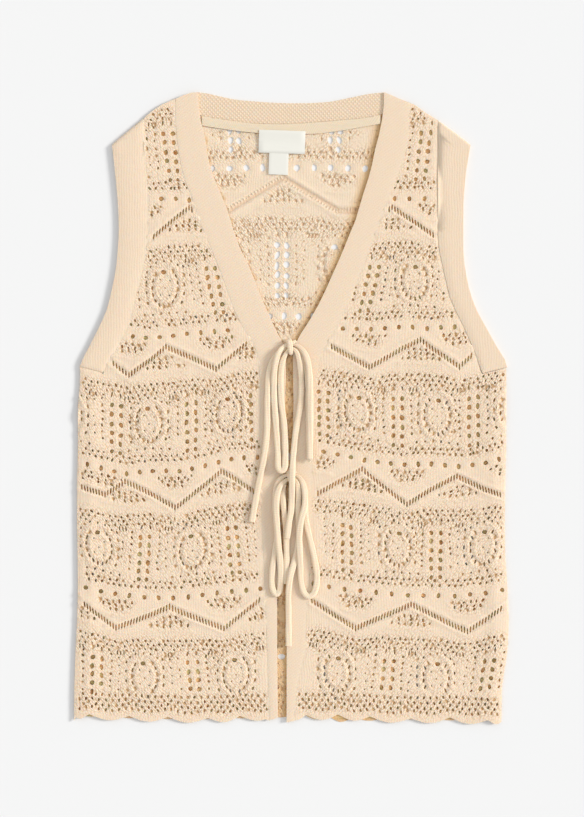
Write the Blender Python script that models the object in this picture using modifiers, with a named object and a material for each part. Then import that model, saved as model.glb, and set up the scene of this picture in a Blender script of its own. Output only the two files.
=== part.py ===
"""A sleeveless openwork-knit cardigan with two tie bows, laid out flat on its back.

The garment lies in the XY plane with its neck towards +Y. Its origin is the middle of its outline, at the
level that the back panel rests on. "right" and "left" are the wearer's, so the right front is at -X.
Tables are in millimetres and every object is made in metres.
"""

import math
from collections import namedtuple

import bmesh
import bpy
import numpy as np

MM = 0.001

# Driving sizes, in millimetres
WALL = 1.6  # knitted lace
BAND_WALL = 1.8  # the closer knit of the front, neck and armhole bands
LABEL_WALL = 1.0  # neck tape, woven label and size tab
SEAM_GAP = 0.3  # between pieces sewn edge to edge, and between layers
FRONT_REST = WALL + SEAM_GAP  # the level of the fronts' undersides where they lie on the back
HEM_LEVEL = -310.0  # the fronts' hem, at the points between its scallops
HEM_DEPTH = 4.4  # how far a scallop hangs below those points
SHOULDER_LEVEL = 290.0  # about where the shoulders end
CORD_WIDTH = 6.0  # the ties, a flattened tubular knit
CORD_FLATTEN = 0.57  # thickness of a tie over its width

# Seam and edge lines, bottom to top. Columns: height (Y), across (X)
SIDE_RIGHT = (
    (-317, -217.2), (-305, -217.5), (-257, -216.5), (-217, -214.5), (-187, -213.5), (-92, -214.5),
    (-42, -213.5), (-2, -213.5), (18, -211.8), (42, -211), (58, -203.5), (78, -193.5), (98, -184.5),
    (118, -179.5), (138, -175.5), (158, -173.5), (178, -172.5), (198, -173), (218, -174.5),
    (238, -176.5), (256, -178.5), (266, -179.5),
)
SIDE_LEFT = (
    (-317, 209.5), (-282, 210), (-257, 213.5), (-227, 217.3), (-192, 216.5), (-152, 213.5), (-102, 213),
    (-42, 214.3), (18, 214.5), (43, 214.5), (58, 206.5), (78, 195.5), (98, 184.5), (118, 177.5),
    (138, 173.5), (158, 171.5), (178, 171.5), (198, 171.5), (218, 172.5), (238, 174.5), (256, 177.5),
    (266, 179),
)
ARMHOLE_SEAM_RIGHT = (
    (36, -188.5), (48, -182), (63, -173.5), (80, -164.5), (108, -157), (133, -150.5),
    (153, -146), (178, -143), (218, -144.5), (258, -147), (292, -147.5),
)
ARMHOLE_SEAM_LEFT = (
    (36, 190.5), (45, 187.2), (57, 183), (70, 177.5), (83, 171.5), (95, 165.5), (108, 159.5),
    (133, 153.5), (150, 149.5), (173, 146.5), (218, 146.5), (258, 146.5), (289, 146.5),
)
BAND_SEAM_RIGHT = (
    (-317, -21.8), (-292, -22.5), (-192, -26), (-112, -29.5), (-52, -30.5), (8, -31.5), (43, -32),
    (56, -34.5), (66, -39.5), (79, -47.5), (90, -53.5), (103, -59), (118, -64.5), (133, -69.5),
    (150, -76.5), (165, -82.5), (186, -91.5), (208, -98.5), (228, -106.5), (248, -111.5),
    (268, -114), (293, -116), (311, -115.5),
)
BAND_SEAM_LEFT = (
    (-317, 1.5), (-308, 1.5), (-282, 4.5), (-257, 10.5), (-232, 14.5), (-192, 14.5), (-152, 20.5),
    (-92, 19.5), (-42, 21.5), (8, 23.5), (43, 26.5), (56, 31), (68, 37.5), (82, 45), (100, 53.5),
    (118, 61.5), (146, 73), (165, 80.5), (183, 87.5), (210, 97), (224, 102), (236, 107), (248, 111.5),
    (268, 116), (288, 117.5), (308, 117),
)
FREE_EDGE_RIGHT = (
    (-317, -13.5), (-232, -14.5), (-152, -14.5), (-112, -12.5), (-72, -9), (8, -6.5), (54, -5.5),
    (63, -7.5), (75, -14.5), (88, -20.5), (111, -30.5), (141, -42.5), (165, -54), (186, -60.5),
    (201, -65.5), (218, -72.5), (235, -79.5), (252, -84), (268, -86), (292, -92), (315.5, -93.5),
)
FREE_EDGE_LEFT = (
    (-317, -5), (-192, -4.5), (-152, -3.5), (-112, -1.5), (-52, 0.5), (-2, 2), (48, 1.5), (61, 2),
    (68, 5.5), (78, 12), (93, 21.5), (108, 29.5), (123, 36.5), (138, 43), (153, 50), (168, 55.5),
    (183, 62.5), (198, 67), (213, 71.5), (228, 76.5), (243, 80.5), (258, 83.5), (273, 87.5),
    (288, 90.5), (298, 92), (315.5, 92.5),
)

# Lines that run across. Columns: across (X), height (Y)
SHOULDER_RIGHT = (
    (-179.5, 264), (-171.5, 271), (-163.5, 278.5), (-155.5, 284), (-147.5, 290), (-139.5, 296.5),
    (-131.5, 302), (-123.5, 306), (-115.5, 309), (-107.5, 312.5), (-99.5, 315), (-93.5, 315.6),
)
SHOULDER_LEFT = (
    (92.5, 315.4), (100.5, 312), (108.5, 308.5), (116.5, 305.5), (124.5, 302), (132.5, 296),
    (140.5, 291), (148.5, 286.5), (156.5, 280.5), (164.5, 274), (172.5, 269), (179, 264),
)
NECK_SEAM = (
    (-115.5, 309), (-105.5, 300), (-91.5, 293), (-66.5, 288.5), (-42, 285), (-16.5, 284), (6, 284.5),
    (43.5, 287.5), (81, 291.5), (100.5, 297.5), (117, 305),
)
NECK_TOP = (
    (-93.5, 315.6), (-85.5, 314.5), (-76.5, 312.5), (-58, 308.5), (-31.5, 306), (-2, 304.5),
    (38, 306), (58.5, 310), (78.5, 314), (92.5, 315.4),
)
TAPE_FOOT = (
    (-91.5, 283), (-66.5, 279), (-42, 276), (-11.5, 274), (15.5, 274), (48.5, 277.5), (81, 283),
    (89.5, 284.5),
)

# Soft swells of the fronts, with the main creases between them.
# Columns: across, along, half width, half length, turn in degrees, height
SWELLS = (
    (-196, -10, 7, 52, 4, 0.7), (-182, -25, 6, 44, -3, 0.55), (-150, 40, 16, 46, -14, 0.55),
    (-120, -60, 26, 58, 6, 0.5), (-168, -160, 18, 60, -5, 0.55), (-90, -190, 22, 50, 8, 0.4),
    (-128, 185, 14, 44, 6, 0.4), (-70, 30, 10, 34, 26, 0.35), (-140, -270, 24, 22, 0, 0.4),
    (196, -14, 7, 50, -5, 0.65), (184, -40, 6, 40, 4, 0.5), (150, 38, 15, 44, 15, 0.55),
    (112, -70, 24, 60, -6, 0.5), (170, -170, 18, 56, 6, 0.5), (84, -200, 20, 48, -9, 0.4),
    (130, 180, 14, 42, -5, 0.4), (76, 40, 10, 32, -28, 0.35), (140, -272, 26, 20, 0, 0.4),
)
ARMHOLE_LOFT = 0.7  # how far an armhole band's front layer stands above the panels' layer
SHOULDER_FOLD = 3.0  # how far below the shoulder line that layer turns over to the back
BACK_INSET = 0.5  # the back's edge lies this far inside the fronts'
BACK_SHOULDERS = ((145.0, 118.5), (-117.0, -145.5))  # across, from one armhole over the neck to the other
BACK_NECK = (114.0, -112.5)  # across, from one end of its neckline to the other
NECK_BAND_ENDS = ((113.0, 108.0, 100.0), (-99.0, -106.0, -111.5))  # across, its points on the shoulders
NECK_BAND_INSET = 0.4  # it lies this far below the shoulder line
TAPE_ENDS = (-89.4, 88.6)
TAPE_INSET = 0.6  # from the neck seam down to the tape's upper edge
UNDERARM_FOLD = (0.5, 0.7)  # how far the fold at the underarm reaches out, across and along
UNDERARM_RISE = 6.0  # how much higher an armhole band's free edge ends than its seam
CORNER_GAP = 2.2  # the panels' corner under each armhole, below its band's foot
CORNER_BLEND = 0.1  # share of a front's height over which its rows climb to that corner
# Rows of a front, as shares of the way from hem to shoulder: closer in its upper half
ROW_SHARES = tuple(k / 18 for k in range(9)) + tuple(0.5 + k / 44 for k in range(23))
ROW_CLEAR = 4.0  # an armhole band has no row nearer than this to its foot, or half this to its head
ROW_MERGE = 0.007  # a row nearer than this to the one at the armhole's corner is left out
SIDE_ROLL = 1.3  # how far the fronts stand up where they turn towards the side seams
SIDE_ROLL_PLACE = 13.0  # from the side edge to the top of that roll
SIDE_ROLL_WIDTH = 9.0
SIDE_ROLL_TOP = 48.0  # the height along at which that roll has died away
SIDE_ROLL_FADE = 60.0  # over this length
FLAT_EDGE = 8.0  # the fronts come down flat over this width at their side edges
HEM_FADE = 8  # power by which the scallops fade out of a front's rows
TIE_CLEAR = 42.0  # the fronts lie flat this far out from the bows
TIE_BLEND = 14.0  # and take up their swells over this width

# Each scalloped stretch of hem. Columns: one low point (X), period, share of HEM_DEPTH, base (Y)
HEM_RIGHT = (-181.0, 37.6, 1.0, HEM_LEVEL + 1.2)
HEM_LEFT = (29.0, 37.2, 1.0, HEM_LEVEL)
HEM_BACK = (-181.0, 37.4, 1.05, HEM_LEVEL - 0.9)

Half = namedtuple("Half", "name side armhole_seam band_seam free_edge hem shoulder")
RIGHT = Half(
    "right", SIDE_RIGHT, ARMHOLE_SEAM_RIGHT, BAND_SEAM_RIGHT, FREE_EDGE_RIGHT, HEM_RIGHT, SHOULDER_RIGHT
)
LEFT = Half("left", SIDE_LEFT, ARMHOLE_SEAM_LEFT, BAND_SEAM_LEFT, FREE_EDGE_LEFT, HEM_LEFT, SHOULDER_LEFT)

# The ties. Columns: across, along, lift of the cord's middle above the bands, width over CORD_WIDTH
LOW, HIGH = 2.0, 5.7  # a cord on the bands, and one that crosses it
UNDER, OVER = 1.15, 3.15  # the same inside a knot, where the cords are drawn thin
DRAWN = 0.5
UPPER_TIE_RIGHT = (
    (-6.2, 64.2, 1.2, DRAWN), (-2, 63.2, UNDER, DRAWN), (2.5, 63, UNDER, DRAWN),
    (8.5, 60.2, 2.8, 0.75), (13.8, 53, 5.2, 0.95), (17, 42, HIGH, 1), (18.4, 23, HIGH, 1),
    (18.7, -8, HIGH, 1), (18.4, -36, HIGH, 1), (18.2, -48.5, HIGH, 1), (18.1, -50.8, 5.1, 1),
    (18, -51.7, 3.85, 1), (17.9, -50.8, 2.6, 1), (17.8, -48.5, LOW, 1), (17.6, -36, LOW, 1),
    (17, -8, LOW, 1), (16.6, 20, LOW, 1), (15.2, 37, LOW, 1), (11.8, 49, LOW, 0.9),
    (6.4, 56.4, 1.5, 0.65), (1, 59.2, UNDER, DRAWN), (-5.2, 59.2, UNDER, DRAWN),
    (-11.8, 56, 1.8, 0.8), (-18.4, 47, LOW, 1), (-22.8, 34, LOW, 1), (-24.2, 8, LOW, 1),
    (-24.7, -25, LOW, 1), (-28, -52, LOW, 1), (-33, -77, LOW, 1), (-36.7, -97, LOW, 1),
    (-39.7, -114, LOW, 1),
)
UPPER_TIE_LEFT = (
    (4.6, 66.9, 2.2, DRAWN), (1.4, 65.2, 2.9, DRAWN), (-2.5, 63.4, OVER, DRAWN),
    (-7.6, 61.4, 3.5, 0.65), (-12.4, 55.6, 5.3, 0.9), (-15.6, 46, 5.5, 1), (-17.3, 34, 4.4, 1),
    (-17.7, 22, 2.8, 1), (-17.4, 8, LOW, 1), (-15.6, -17, LOW, 1), (-14, -42, LOW, 1),
    (-13.7, -51, 4.3, 1), (-13.5, -58, 6.7, 1), (-12.5, -61.4, 7.1, 1), (-10, -62.9, 7.1, 1),
    (-7.5, -61.4, 7.1, 1), (-6.5, -58, 6.7, 1), (-6.3, -51, 4.3, 1), (-6.3, -42, LOW, 1),
    (-7.4, -17, LOW, 1), (-10.2, 6, LOW, 1), (-10.9, 22, LOW, 1), (-10.7, 35, LOW, 1),
    (-9.4, 45, 2.3, 0.95), (-6.6, 52.4, 2.9, 0.75), (-3, 57.6, OVER, 0.55), (1.4, 58.8, OVER, DRAWN),
    (5, 55.6, 4.1, 0.7), (7.2, 49, 4.1, 0.9), (8.8, 40, 3.4, 1), (9.6, 29, 2.1, 1),
    (9.8, 16, LOW, 1), (8, -2, LOW, 1), (4.4, -22, LOW, 1), (2.4, -40, LOW, 1), (1.6, -50, 3.6, 1),
    (1, -59, 7.6, 1), (0.7, -67, 9, 1), (0.5, -75, 8.6, 1), (0.3, -84, 5.6, 1), (0, -94, 3, 1),
    (-0.6, -103, 3.8, 1), (-2.4, -114, 5.4, 1), (-4.4, -130, 5.7, 1),
)
LOWER_TIE_RIGHT = (
    (-6.2, -65.6, 1.2, DRAWN), (-2, -66.7, UNDER, DRAWN),
    (2.5, -67, UNDER, DRAWN), (7.8, -69.8, 2.4, 0.7), (11.8, -77, 4.9, 0.95), (13.4, -87, HIGH, 1),
    (12.8, -99, HIGH, 1), (9.6, -112, HIGH, 1), (7.8, -127, HIGH, 1), (8, -140, 5.6, 1),
    (8.5, -150, 5.1, 1), (8.9, -160, 2.8, 1), (9, -170, LOW, 1), (10.6, -180, LOW, 1),
    (13.4, -186, LOW, 1), (17.4, -188.4, LOW, 1), (21.6, -186, LOW, 1), (24.4, -179, LOW, 1),
    (25.3, -167, LOW, 1), (22.8, -151, LOW, 1), (18.4, -131, LOW, 1), (15, -116, LOW, 1),
    (13.6, -103, LOW, 1), (13.4, -90, LOW, 1), (12, -80, LOW, 0.9), (7.6, -72.8, 1.5, 0.65),
    (2.2, -70.8, UNDER, DRAWN), (-3.6, -71, UNDER, DRAWN), (-7.4, -75.6, 1.7, 0.75),
    (-8.8, -84, LOW, 1), (-8.5, -94, LOW, 1), (-7, -107, LOW, 1), (-5.5, -124, LOW, 1),
    (-5.1, -148, LOW, 1), (-5, -176, LOW, 1),
)
LOWER_TIE_LEFT = (
    (4.6, -63.2, 2.2, DRAWN), (1.4, -65, 2.9, DRAWN), (-2.5, -66.8, OVER, DRAWN),
    (-8.2, -68.4, 3, 0.65), (-12.9, -73, 2.3, 0.9), (-15.6, -82, LOW, 1), (-16.4, -97, LOW, 1),
    (-15.4, -111, LOW, 1), (-14.4, -126, LOW, 1), (-15.5, -138, LOW, 1), (-17.4, -149, LOW, 1),
    (-19.1, -160, LOW, 1), (-19.9, -172, LOW, 1), (-18.9, -181, LOW, 1), (-15.4, -186.2, LOW, 1),
    (-12, -182.6, LOW, 1), (-11, -173, LOW, 1), (-11.1, -160, 2.7, 1), (-11.8, -148, 4.2, 1),
    (-13.1, -136, HIGH, 1), (-14, -122, HIGH, 1), (-15.2, -104, HIGH, 1), (-14.8, -90, HIGH, 1),
    (-12.2, -80, 5.4, 0.9), (-8, -74, 4.1, 0.7), (-3, -71.2, OVER, DRAWN), (2.2, -71.2, OVER, DRAWN),
    (5.6, -75.8, 4.2, 0.75), (7, -84, 3.3, 1), (6.7, -96, 2.1, 1), (6.6, -111, LOW, 1),
    (7.4, -127, LOW, 1), (5.6, -143, LOW, 1), (2, -156, 3, 1), (-0.8, -167, 4.9, 1),
    (-2.8, -180, 5.2, 1), (-3.2, -190, 3.5, 1), (-3, -202, LOW, 1), (-3, -220, LOW, 1),
    (-3, -238, LOW, 1),
)
# The turn of cord round each knot, from its upper foot to its lower one, with the same columns
WRAP_WIDTH = 0.6
UPPER_WRAP = (
    (-2.6, 67.8, 0.4, WRAP_WIDTH), (-2.4, 67.7, 3, WRAP_WIDTH), (-2, 66.2, 5.1, WRAP_WIDTH),
    (-1.4, 61.1, 5.7, WRAP_WIDTH), (-0.8, 55.8, 5.1, WRAP_WIDTH), (-0.6, 54, 3, WRAP_WIDTH),
    (-0.6, 53.8, 0.4, WRAP_WIDTH),
)
LOWER_WRAP = (
    (-2.6, -62.2, 0.4, WRAP_WIDTH), (-2.4, -62.3, 3, WRAP_WIDTH), (-2, -63.8, 5.1, WRAP_WIDTH),
    (-1.4, -69, 5.7, WRAP_WIDTH), (-0.6, -73.8, 5.1, WRAP_WIDTH), (-0.2, -75.4, 3, WRAP_WIDTH),
    (-0.2, -75.6, 0.4, WRAP_WIDTH),
)
CORD_STEP = 7.5  # a step of a cord's table longer than this is halved

# Woven label and size tab: middle of the piece, its size, and its turn in degrees
LABEL = {"across": -9.6, "along": 265.9, "width": 46.3, "height": 22.8, "turn": -2.0}
TAB = {"across": -13.0, "along": 244.8, "width": 19.5, "height": 23.2, "turn": -2.0}
LABEL_HANG = LABEL_WALL + SEAM_GAP  # how far the label's ends lie above the back, on tape and tab
LABEL_SAG = 0.9

# Colours (linear) and finish of the yarns
KNIT_COLOUR = (0.84, 0.66, 0.47)
BAND_COLOUR = (0.86, 0.69, 0.50)
TIE_COLOUR = (0.88, 0.73, 0.55)
TAPE_COLOUR = (0.85, 0.70, 0.52)
LABEL_COLOUR = (0.82, 0.82, 0.77)
KNIT_ROUGHNESS = 0.9
LABEL_ROUGHNESS = 0.7


def clear_scene():
    for obj in list(bpy.data.objects):
        bpy.data.objects.remove(obj, do_unlink=True)


def new_collection(name):
    collection = bpy.data.collections.new(name)
    bpy.context.scene.collection.children.link(collection)
    return collection


def finish(name, colour, roughness):
    material = bpy.data.materials.new(name)
    material.use_nodes = True
    shader = material.node_tree.nodes["Principled BSDF"]
    shader.inputs["Base Color"].default_value = (*colour, 1.0)
    shader.inputs["Roughness"].default_value = roughness
    shader.inputs["Metallic"].default_value = 0.0
    return material


def tangents(places, values):
    """Slopes at the rows of a table, for a smooth line that doesn't overshoot them."""
    steps = np.diff(values) / np.diff(places)
    slopes = np.concatenate([steps[:1], (steps[1:] + steps[:-1]) / 2, steps[-1:]])
    for i in range(1, len(places) - 1):
        if steps[i - 1] * steps[i] <= 0:
            slopes[i] = 0.0
        else:
            limit = 3 * min(abs(steps[i - 1]), abs(steps[i]))
            slopes[i] = max(-limit, min(limit, slopes[i]))
    return slopes


def read_line(rows, place):
    """The second column of a table at a value of its first, along a smooth line."""
    places, values = np.array(rows, float).T
    slopes = tangents(places, values)
    place = float(np.clip(place, places[0], places[-1]))
    i = int(np.clip(np.searchsorted(places, place) - 1, 0, len(places) - 2))
    span = places[i + 1] - places[i]
    t = (place - places[i]) / span
    ends = (1 + 2 * t) * (1 - t) ** 2 * values[i] + t * t * (3 - 2 * t) * values[i + 1]
    turns = t * (1 - t) ** 2 * slopes[i] - t * t * (1 - t) * slopes[i + 1]
    return float(ends + span * turns)


def smooth_step(value):
    value = min(1.0, max(0.0, value))
    return value * value * (3 - 2 * value)


def hem_line(hem, across):
    """The height of a scalloped hem: round lobes that meet in points."""
    low_point, period, share, base = hem
    return base - share * HEM_DEPTH * abs(math.cos(math.pi * (across - low_point) / period))


def swell(across, along):
    """How far the fronts' undersides stand above the level where they lie on the back."""
    lift = 0.0
    for x, y, half_width, half_length, turn, height in SWELLS:
        angle = math.radians(turn)
        dx = across - x
        dy = along - y
        u = (dx * math.cos(angle) + dy * math.sin(angle)) / half_width
        v = (dy * math.cos(angle) - dx * math.sin(angle)) / half_length
        lift += height * math.exp(-u * u - v * v)
    side = SIDE_RIGHT if across < 0 else SIDE_LEFT
    inwards = abs(read_line(side, along)) - abs(across)
    roll = SIDE_ROLL * math.exp(-(((inwards - SIDE_ROLL_PLACE) / SIDE_ROLL_WIDTH) ** 2))
    lift += roll * smooth_step((SIDE_ROLL_TOP - along) / SIDE_ROLL_FADE)
    flat_edge = smooth_step(inwards / FLAT_EDGE)
    return lift * flat_edge * smooth_step((abs(across) - TIE_CLEAR) / TIE_BLEND)


def front_surface(across, along):
    return FRONT_REST + swell(across, along)


def add_object(name, data, material, collection):
    obj = bpy.data.objects.new(name, data)
    collection.objects.link(obj)
    obj.data.materials.append(material)
    return obj


def thicken(obj, wall):
    """Turns an open sheet into a wall that grows up from it."""
    modifier = obj.modifiers.new("wall", "SOLIDIFY")
    modifier.thickness = wall * MM
    modifier.offset = 1.0
    modifier.use_even_offset = True
    obj.data.shade_smooth()
    obj.data.set_sharp_from_angle(angle=math.radians(50))


def sheet(name, rows, wall, material, collection, closed=False):
    """An open sheet through rows of points in millimetres, made a wall; its first face looks up."""
    mesh = bmesh.new()
    grid = [[mesh.verts.new([v * MM for v in point]) for point in row] for row in rows]
    pairs = list(zip(grid, grid[1:]))
    if closed:
        pairs.append((grid[-1], grid[0]))
    for lower, upper in pairs:
        for i in range(min(len(lower), len(upper)) - 1):
            mesh.faces.new((lower[i], lower[i + 1], upper[i + 1], upper[i]))
    mesh.faces.ensure_lookup_table()
    mesh.normal_update()
    if mesh.faces[0].normal.z < 0:
        bmesh.ops.reverse_faces(mesh, faces=mesh.faces[:])
    data = bpy.data.meshes.new(name)
    mesh.to_mesh(data)
    mesh.free()
    obj = add_object(name, data, material, collection)
    thicken(obj, wall)
    return obj


def plate(name, outline, low, high, material, collection):
    """A flat outline between two levels, all in millimetres."""
    curve = bpy.data.curves.new(name, "CURVE")
    curve.dimensions = "2D"
    curve.fill_mode = "BOTH"
    curve.extrude = (high - low) / 2 * MM
    spline = curve.splines.new("POLY")
    spline.points.add(len(outline) - 1)
    for point, (x, y) in zip(spline.points, outline):
        point.co = (x * MM, y * MM, 0, 1)
    spline.use_cyclic_u = True
    obj = add_object(name, curve, material, collection)
    obj.location.z = (high + low) / 2 * MM
    return obj


def spread(low, high, count):
    return [low + (high - low) * i / (count - 1) for i in range(count)]


def meet(line, edge, start):
    """Where a line that runs across, y(x), crosses an edge that runs along, x(y)."""
    along = start
    for _ in range(30):
        across = read_line(edge, along)
        along = 0.5 * along + 0.5 * line(across)
    return read_line(edge, along), along


def row_height(foot, head, v):
    """A row's height where the hem is at foot: the hem's scallops fade out over the first rows."""
    return HEM_LEVEL + (head - HEM_LEVEL) * v + (foot - HEM_LEVEL) * (1 - v) ** HEM_FADE


def front_rows(half, inner, outer, columns, wing):
    """Rows of a front, or of its band, from hem to shoulder between two edges.

    Below the armhole a row goes on by wing more columns to the side seam.
    """
    hem = hem_of(half)
    shoulder = shoulder_of(half)
    inner_foot = meet(hem, inner, HEM_LEVEL)[0]
    outer_foot = meet(hem, outer, HEM_LEVEL)[0]
    side_foot = meet(hem, half.side, HEM_LEVEL)[0]
    inner_head = meet(shoulder, inner, SHOULDER_LEVEL)[0]
    outer_head = meet(shoulder, outer, SHOULDER_LEVEL)[0]
    shares, corner = front_shares(half)[1:]
    rows = []
    for v in shares:
        row = []
        for u in spread(0.0, 1.0, columns):
            foot = hem((1 - u) * inner_foot + u * outer_foot)
            head = shoulder((1 - u) * inner_head + u * outer_head)
            along = row_height(foot, head, v)
            a = read_line(inner, along)
            b = read_line(outer, along)
            trim = math.copysign(SEAM_GAP / 2, b - a)
            row.append(((1 - u) * (a + trim) + u * (b - trim), along))
        climb = UNDERARM_RISE * smooth_step(1 - (corner - v) / CORNER_BLEND)
        edge = row[-1][0]
        for k in range(wing if v <= corner else 0):
            t = (k + 1) / wing
            foot = hem((1 - t) * outer_foot + t * side_foot)
            along = row_height(foot, shoulder(outer_head), v) + climb * t
            row.append(((1 - t) * edge + t * read_line(half.side, along), along))
        rows.append([(x, y, front_surface(x, y)) for x, y in row])
    return rows


def hem_of(half):
    return lambda across: hem_line(half.hem, across)


def shoulder_of(half):
    return lambda across: read_line(half.shoulder, across)


def front_shares(half):
    """The height of a front's outer shoulder corner, its rows as shares of the way up to it, and the
    share of the row that ends at its corner under the armhole."""
    head = meet(shoulder_of(half), half.armhole_seam, SHOULDER_LEVEL)[1]
    corner = (half.armhole_seam[0][0] - CORNER_GAP - HEM_LEVEL) / (head - HEM_LEVEL)
    others = [v for v in ROW_SHARES if abs(v - corner) > ROW_MERGE]
    return head, sorted(others + [corner]), corner


def make_front(half, material, collection):
    rows = front_rows(half, half.band_seam, half.armhole_seam, columns=19, wing=2)
    return sheet("front_" + half.name, rows, WALL, material, collection)


def make_front_band(half, material, collection):
    """The band shares its rows with the front it is sewn to, so their edges run parallel."""
    rows = front_rows(half, half.free_edge, half.band_seam, columns=4, wing=0)
    return sheet("front_band_" + half.name, rows, BAND_WALL, material, collection)


def armhole_rows(half, columns):
    """One layer of an armhole band, foot to shoulder: rows of (across, along)."""
    head, shares, _ = front_shares(half)
    start = half.armhole_seam[0][0] + SEAM_GAP
    end = head - SHOULDER_FOLD
    heights = [row_height(HEM_LEVEL, head, v) for v in shares]
    heights = [start] + [y for y in heights if start + ROW_CLEAR < y < end - ROW_CLEAR / 2] + [end]
    edge_end = read_line(half.shoulder, half.side[-1][1]) - SHOULDER_FOLD
    rows = []
    for y in heights:
        v = (y - start) / (end - start)
        gap = SEAM_GAP * 1.5 if y == end else SEAM_GAP / 2
        row = []
        for u in spread(0.0, 1.0, columns):
            along = y + u * ((1 - v) * UNDERARM_RISE + v * (edge_end - end))
            a = read_line(half.armhole_seam, along if u else y)
            b = read_line(half.side, along)
            row.append(((1 - u) * (a + math.copysign(gap, b)) + u * b, along))
        rows.append(row)
    return rows


def make_armhole_band(half, material, collection):
    """A ring: the front layer, the fold over the shoulder, the back layer and the fold at the underarm."""
    layer = armhole_rows(half, columns=4)
    middle_back = BAND_WALL / 2
    middle_front = FRONT_REST + ARMHOLE_LOFT + BAND_WALL / 2
    radius = (middle_front - middle_back) / 2
    level = (middle_front + middle_back) / 2
    outwards = math.copysign(1.0, half.side[0][1])
    turns = [math.pi / 2 - math.pi * k / 6 for k in range(1, 6)]
    rows = [[(x, y, middle_front) for x, y in row] for row in layer]
    for angle in turns:
        reach = radius * math.cos(angle)
        rows.append([(x, y + reach, level + radius * math.sin(angle)) for x, y in layer[-1]])
    rows += [[(x, y, middle_back) for x, y in row] for row in reversed(layer)]
    for angle in reversed(turns):
        reach = radius * math.cos(angle)
        z = level + radius * math.sin(angle)
        across, along = (reach * share for share in UNDERARM_FOLD)
        rows.append([(x + outwards * across, y - along, z) for x, y in layer[0]])
    obj = sheet("armhole_band_" + half.name, rows, BAND_WALL, material, collection, closed=True)
    obj.modifiers["wall"].offset = 0.0
    return obj


def back_edge(half):
    """The back panel's edge on one side, hem to shoulder, on the heights of the armhole band's rows."""
    inwards = -math.copysign(1.0, half.side[0][1])
    corner = half.armhole_seam[0][0] - CORNER_GAP - BACK_INSET
    sides = spread(HEM_LEVEL, corner + UNDERARM_RISE, 16)
    outline = [(read_line(half.side, y) + inwards * BACK_INSET, y) for y in sides]
    heights = [corner] + [row[0][1] for row in armhole_rows(half, columns=2)]
    return outline + [(read_line(half.armhole_seam, y) + inwards * SEAM_GAP / 2, y) for y in heights]


def make_back_panel(material, collection):
    """The whole back, a flat plate: hem, side edges, armhole seams, shoulders and neck seam."""
    edge_right = back_edge(RIGHT)
    edge_left = back_edge(LEFT)
    outline = [(x, hem_line(HEM_BACK, x)) for x in spread(edge_right[0][0] + 1, edge_left[0][0] - 1, 97)]
    outline += edge_left
    outline += [(x, read_line(SHOULDER_LEFT, x) - BACK_INSET) for x in spread(*BACK_SHOULDERS[0], 5)]
    outline += [(x, read_line(NECK_SEAM, x) - SEAM_GAP / 2) for x in spread(*BACK_NECK, 30)]
    outline += [(x, read_line(SHOULDER_RIGHT, x) - BACK_INSET) for x in spread(*BACK_SHOULDERS[1], 5)]
    outline += edge_right[::-1]
    return plate("back_panel", outline, 0.0, WALL, material, collection)


def make_back_neck_band(material, collection):
    outline = [(x, read_line(NECK_SEAM, x) + SEAM_GAP / 2) for x in spread(-113.5, 115.0, 31)]
    outline += [(x, read_line(SHOULDER_LEFT, x) - NECK_BAND_INSET) for x in NECK_BAND_ENDS[0]]
    outline += [(x, read_line(NECK_TOP, x)) for x in spread(91.5, -92.5, 22)]
    outline += [(x, read_line(SHOULDER_RIGHT, x) - NECK_BAND_INSET) for x in NECK_BAND_ENDS[1]]
    return plate("back_neck_band", outline, 0.0, WALL, material, collection)


def make_neck_tape(material, collection):
    """Along the back neck seam, between the two front bands."""
    outline = [(x, read_line(TAPE_FOOT, x)) for x in spread(*TAPE_ENDS, 19)]
    outline += [(x, read_line(NECK_SEAM, x) - TAPE_INSET) for x in spread(*TAPE_ENDS[::-1], 19)]
    low = WALL + SEAM_GAP
    return plate("neck_tape", outline, low, low + LABEL_WALL, material, collection)


def turned(place, u, v):
    """A point of a label from its own coordinates, -0.5 to 0.5 each way."""
    angle = math.radians(place["turn"])
    x = u * place["width"]
    y = v * place["height"]
    across = place["across"] + x * math.cos(angle) - y * math.sin(angle)
    along = place["along"] + x * math.sin(angle) + y * math.cos(angle)
    return across, along


def make_label(name, place, low, sag, material, collection):
    rows = []
    for v in spread(-0.5, 0.5, 9):
        row = []
        for u in spread(-0.5, 0.5, 5):
            across, along = turned(place, u, v)
            row.append((across, along, low - sag * math.cos(math.pi * v) ** 2))
        rows.append(row)
    return sheet(name, rows, LABEL_WALL, material, collection)


def smooth_route(table):
    """Points along a smooth curve through the rows of a cord's table."""
    rows = np.array(table, float)
    lengths = np.linalg.norm(np.diff(rows[:, :3], axis=0), axis=1)
    places = np.concatenate([[0.0], np.cumsum(lengths**0.5)])
    slopes = np.empty_like(rows)
    slopes[1:-1] = (rows[2:] - rows[:-2]) / (places[2:] - places[:-2])[:, None]
    slopes[0] = (rows[1] - rows[0]) / (places[1] - places[0])
    slopes[-1] = (rows[-1] - rows[-2]) / (places[-1] - places[-2])
    points = []
    for i, length in enumerate(lengths):
        span = places[i + 1] - places[i]
        for t in (0.0, 0.5) if length > CORD_STEP else (0.0,):
            a = (1 + 2 * t) * (1 - t) ** 2 * rows[i] + t * (1 - t) ** 2 * span * slopes[i]
            b = t * t * (3 - 2 * t) * rows[i + 1] - t * t * (1 - t) * span * slopes[i + 1]
            points.append(a + b)
    points.append(rows[-1])
    return points


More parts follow.
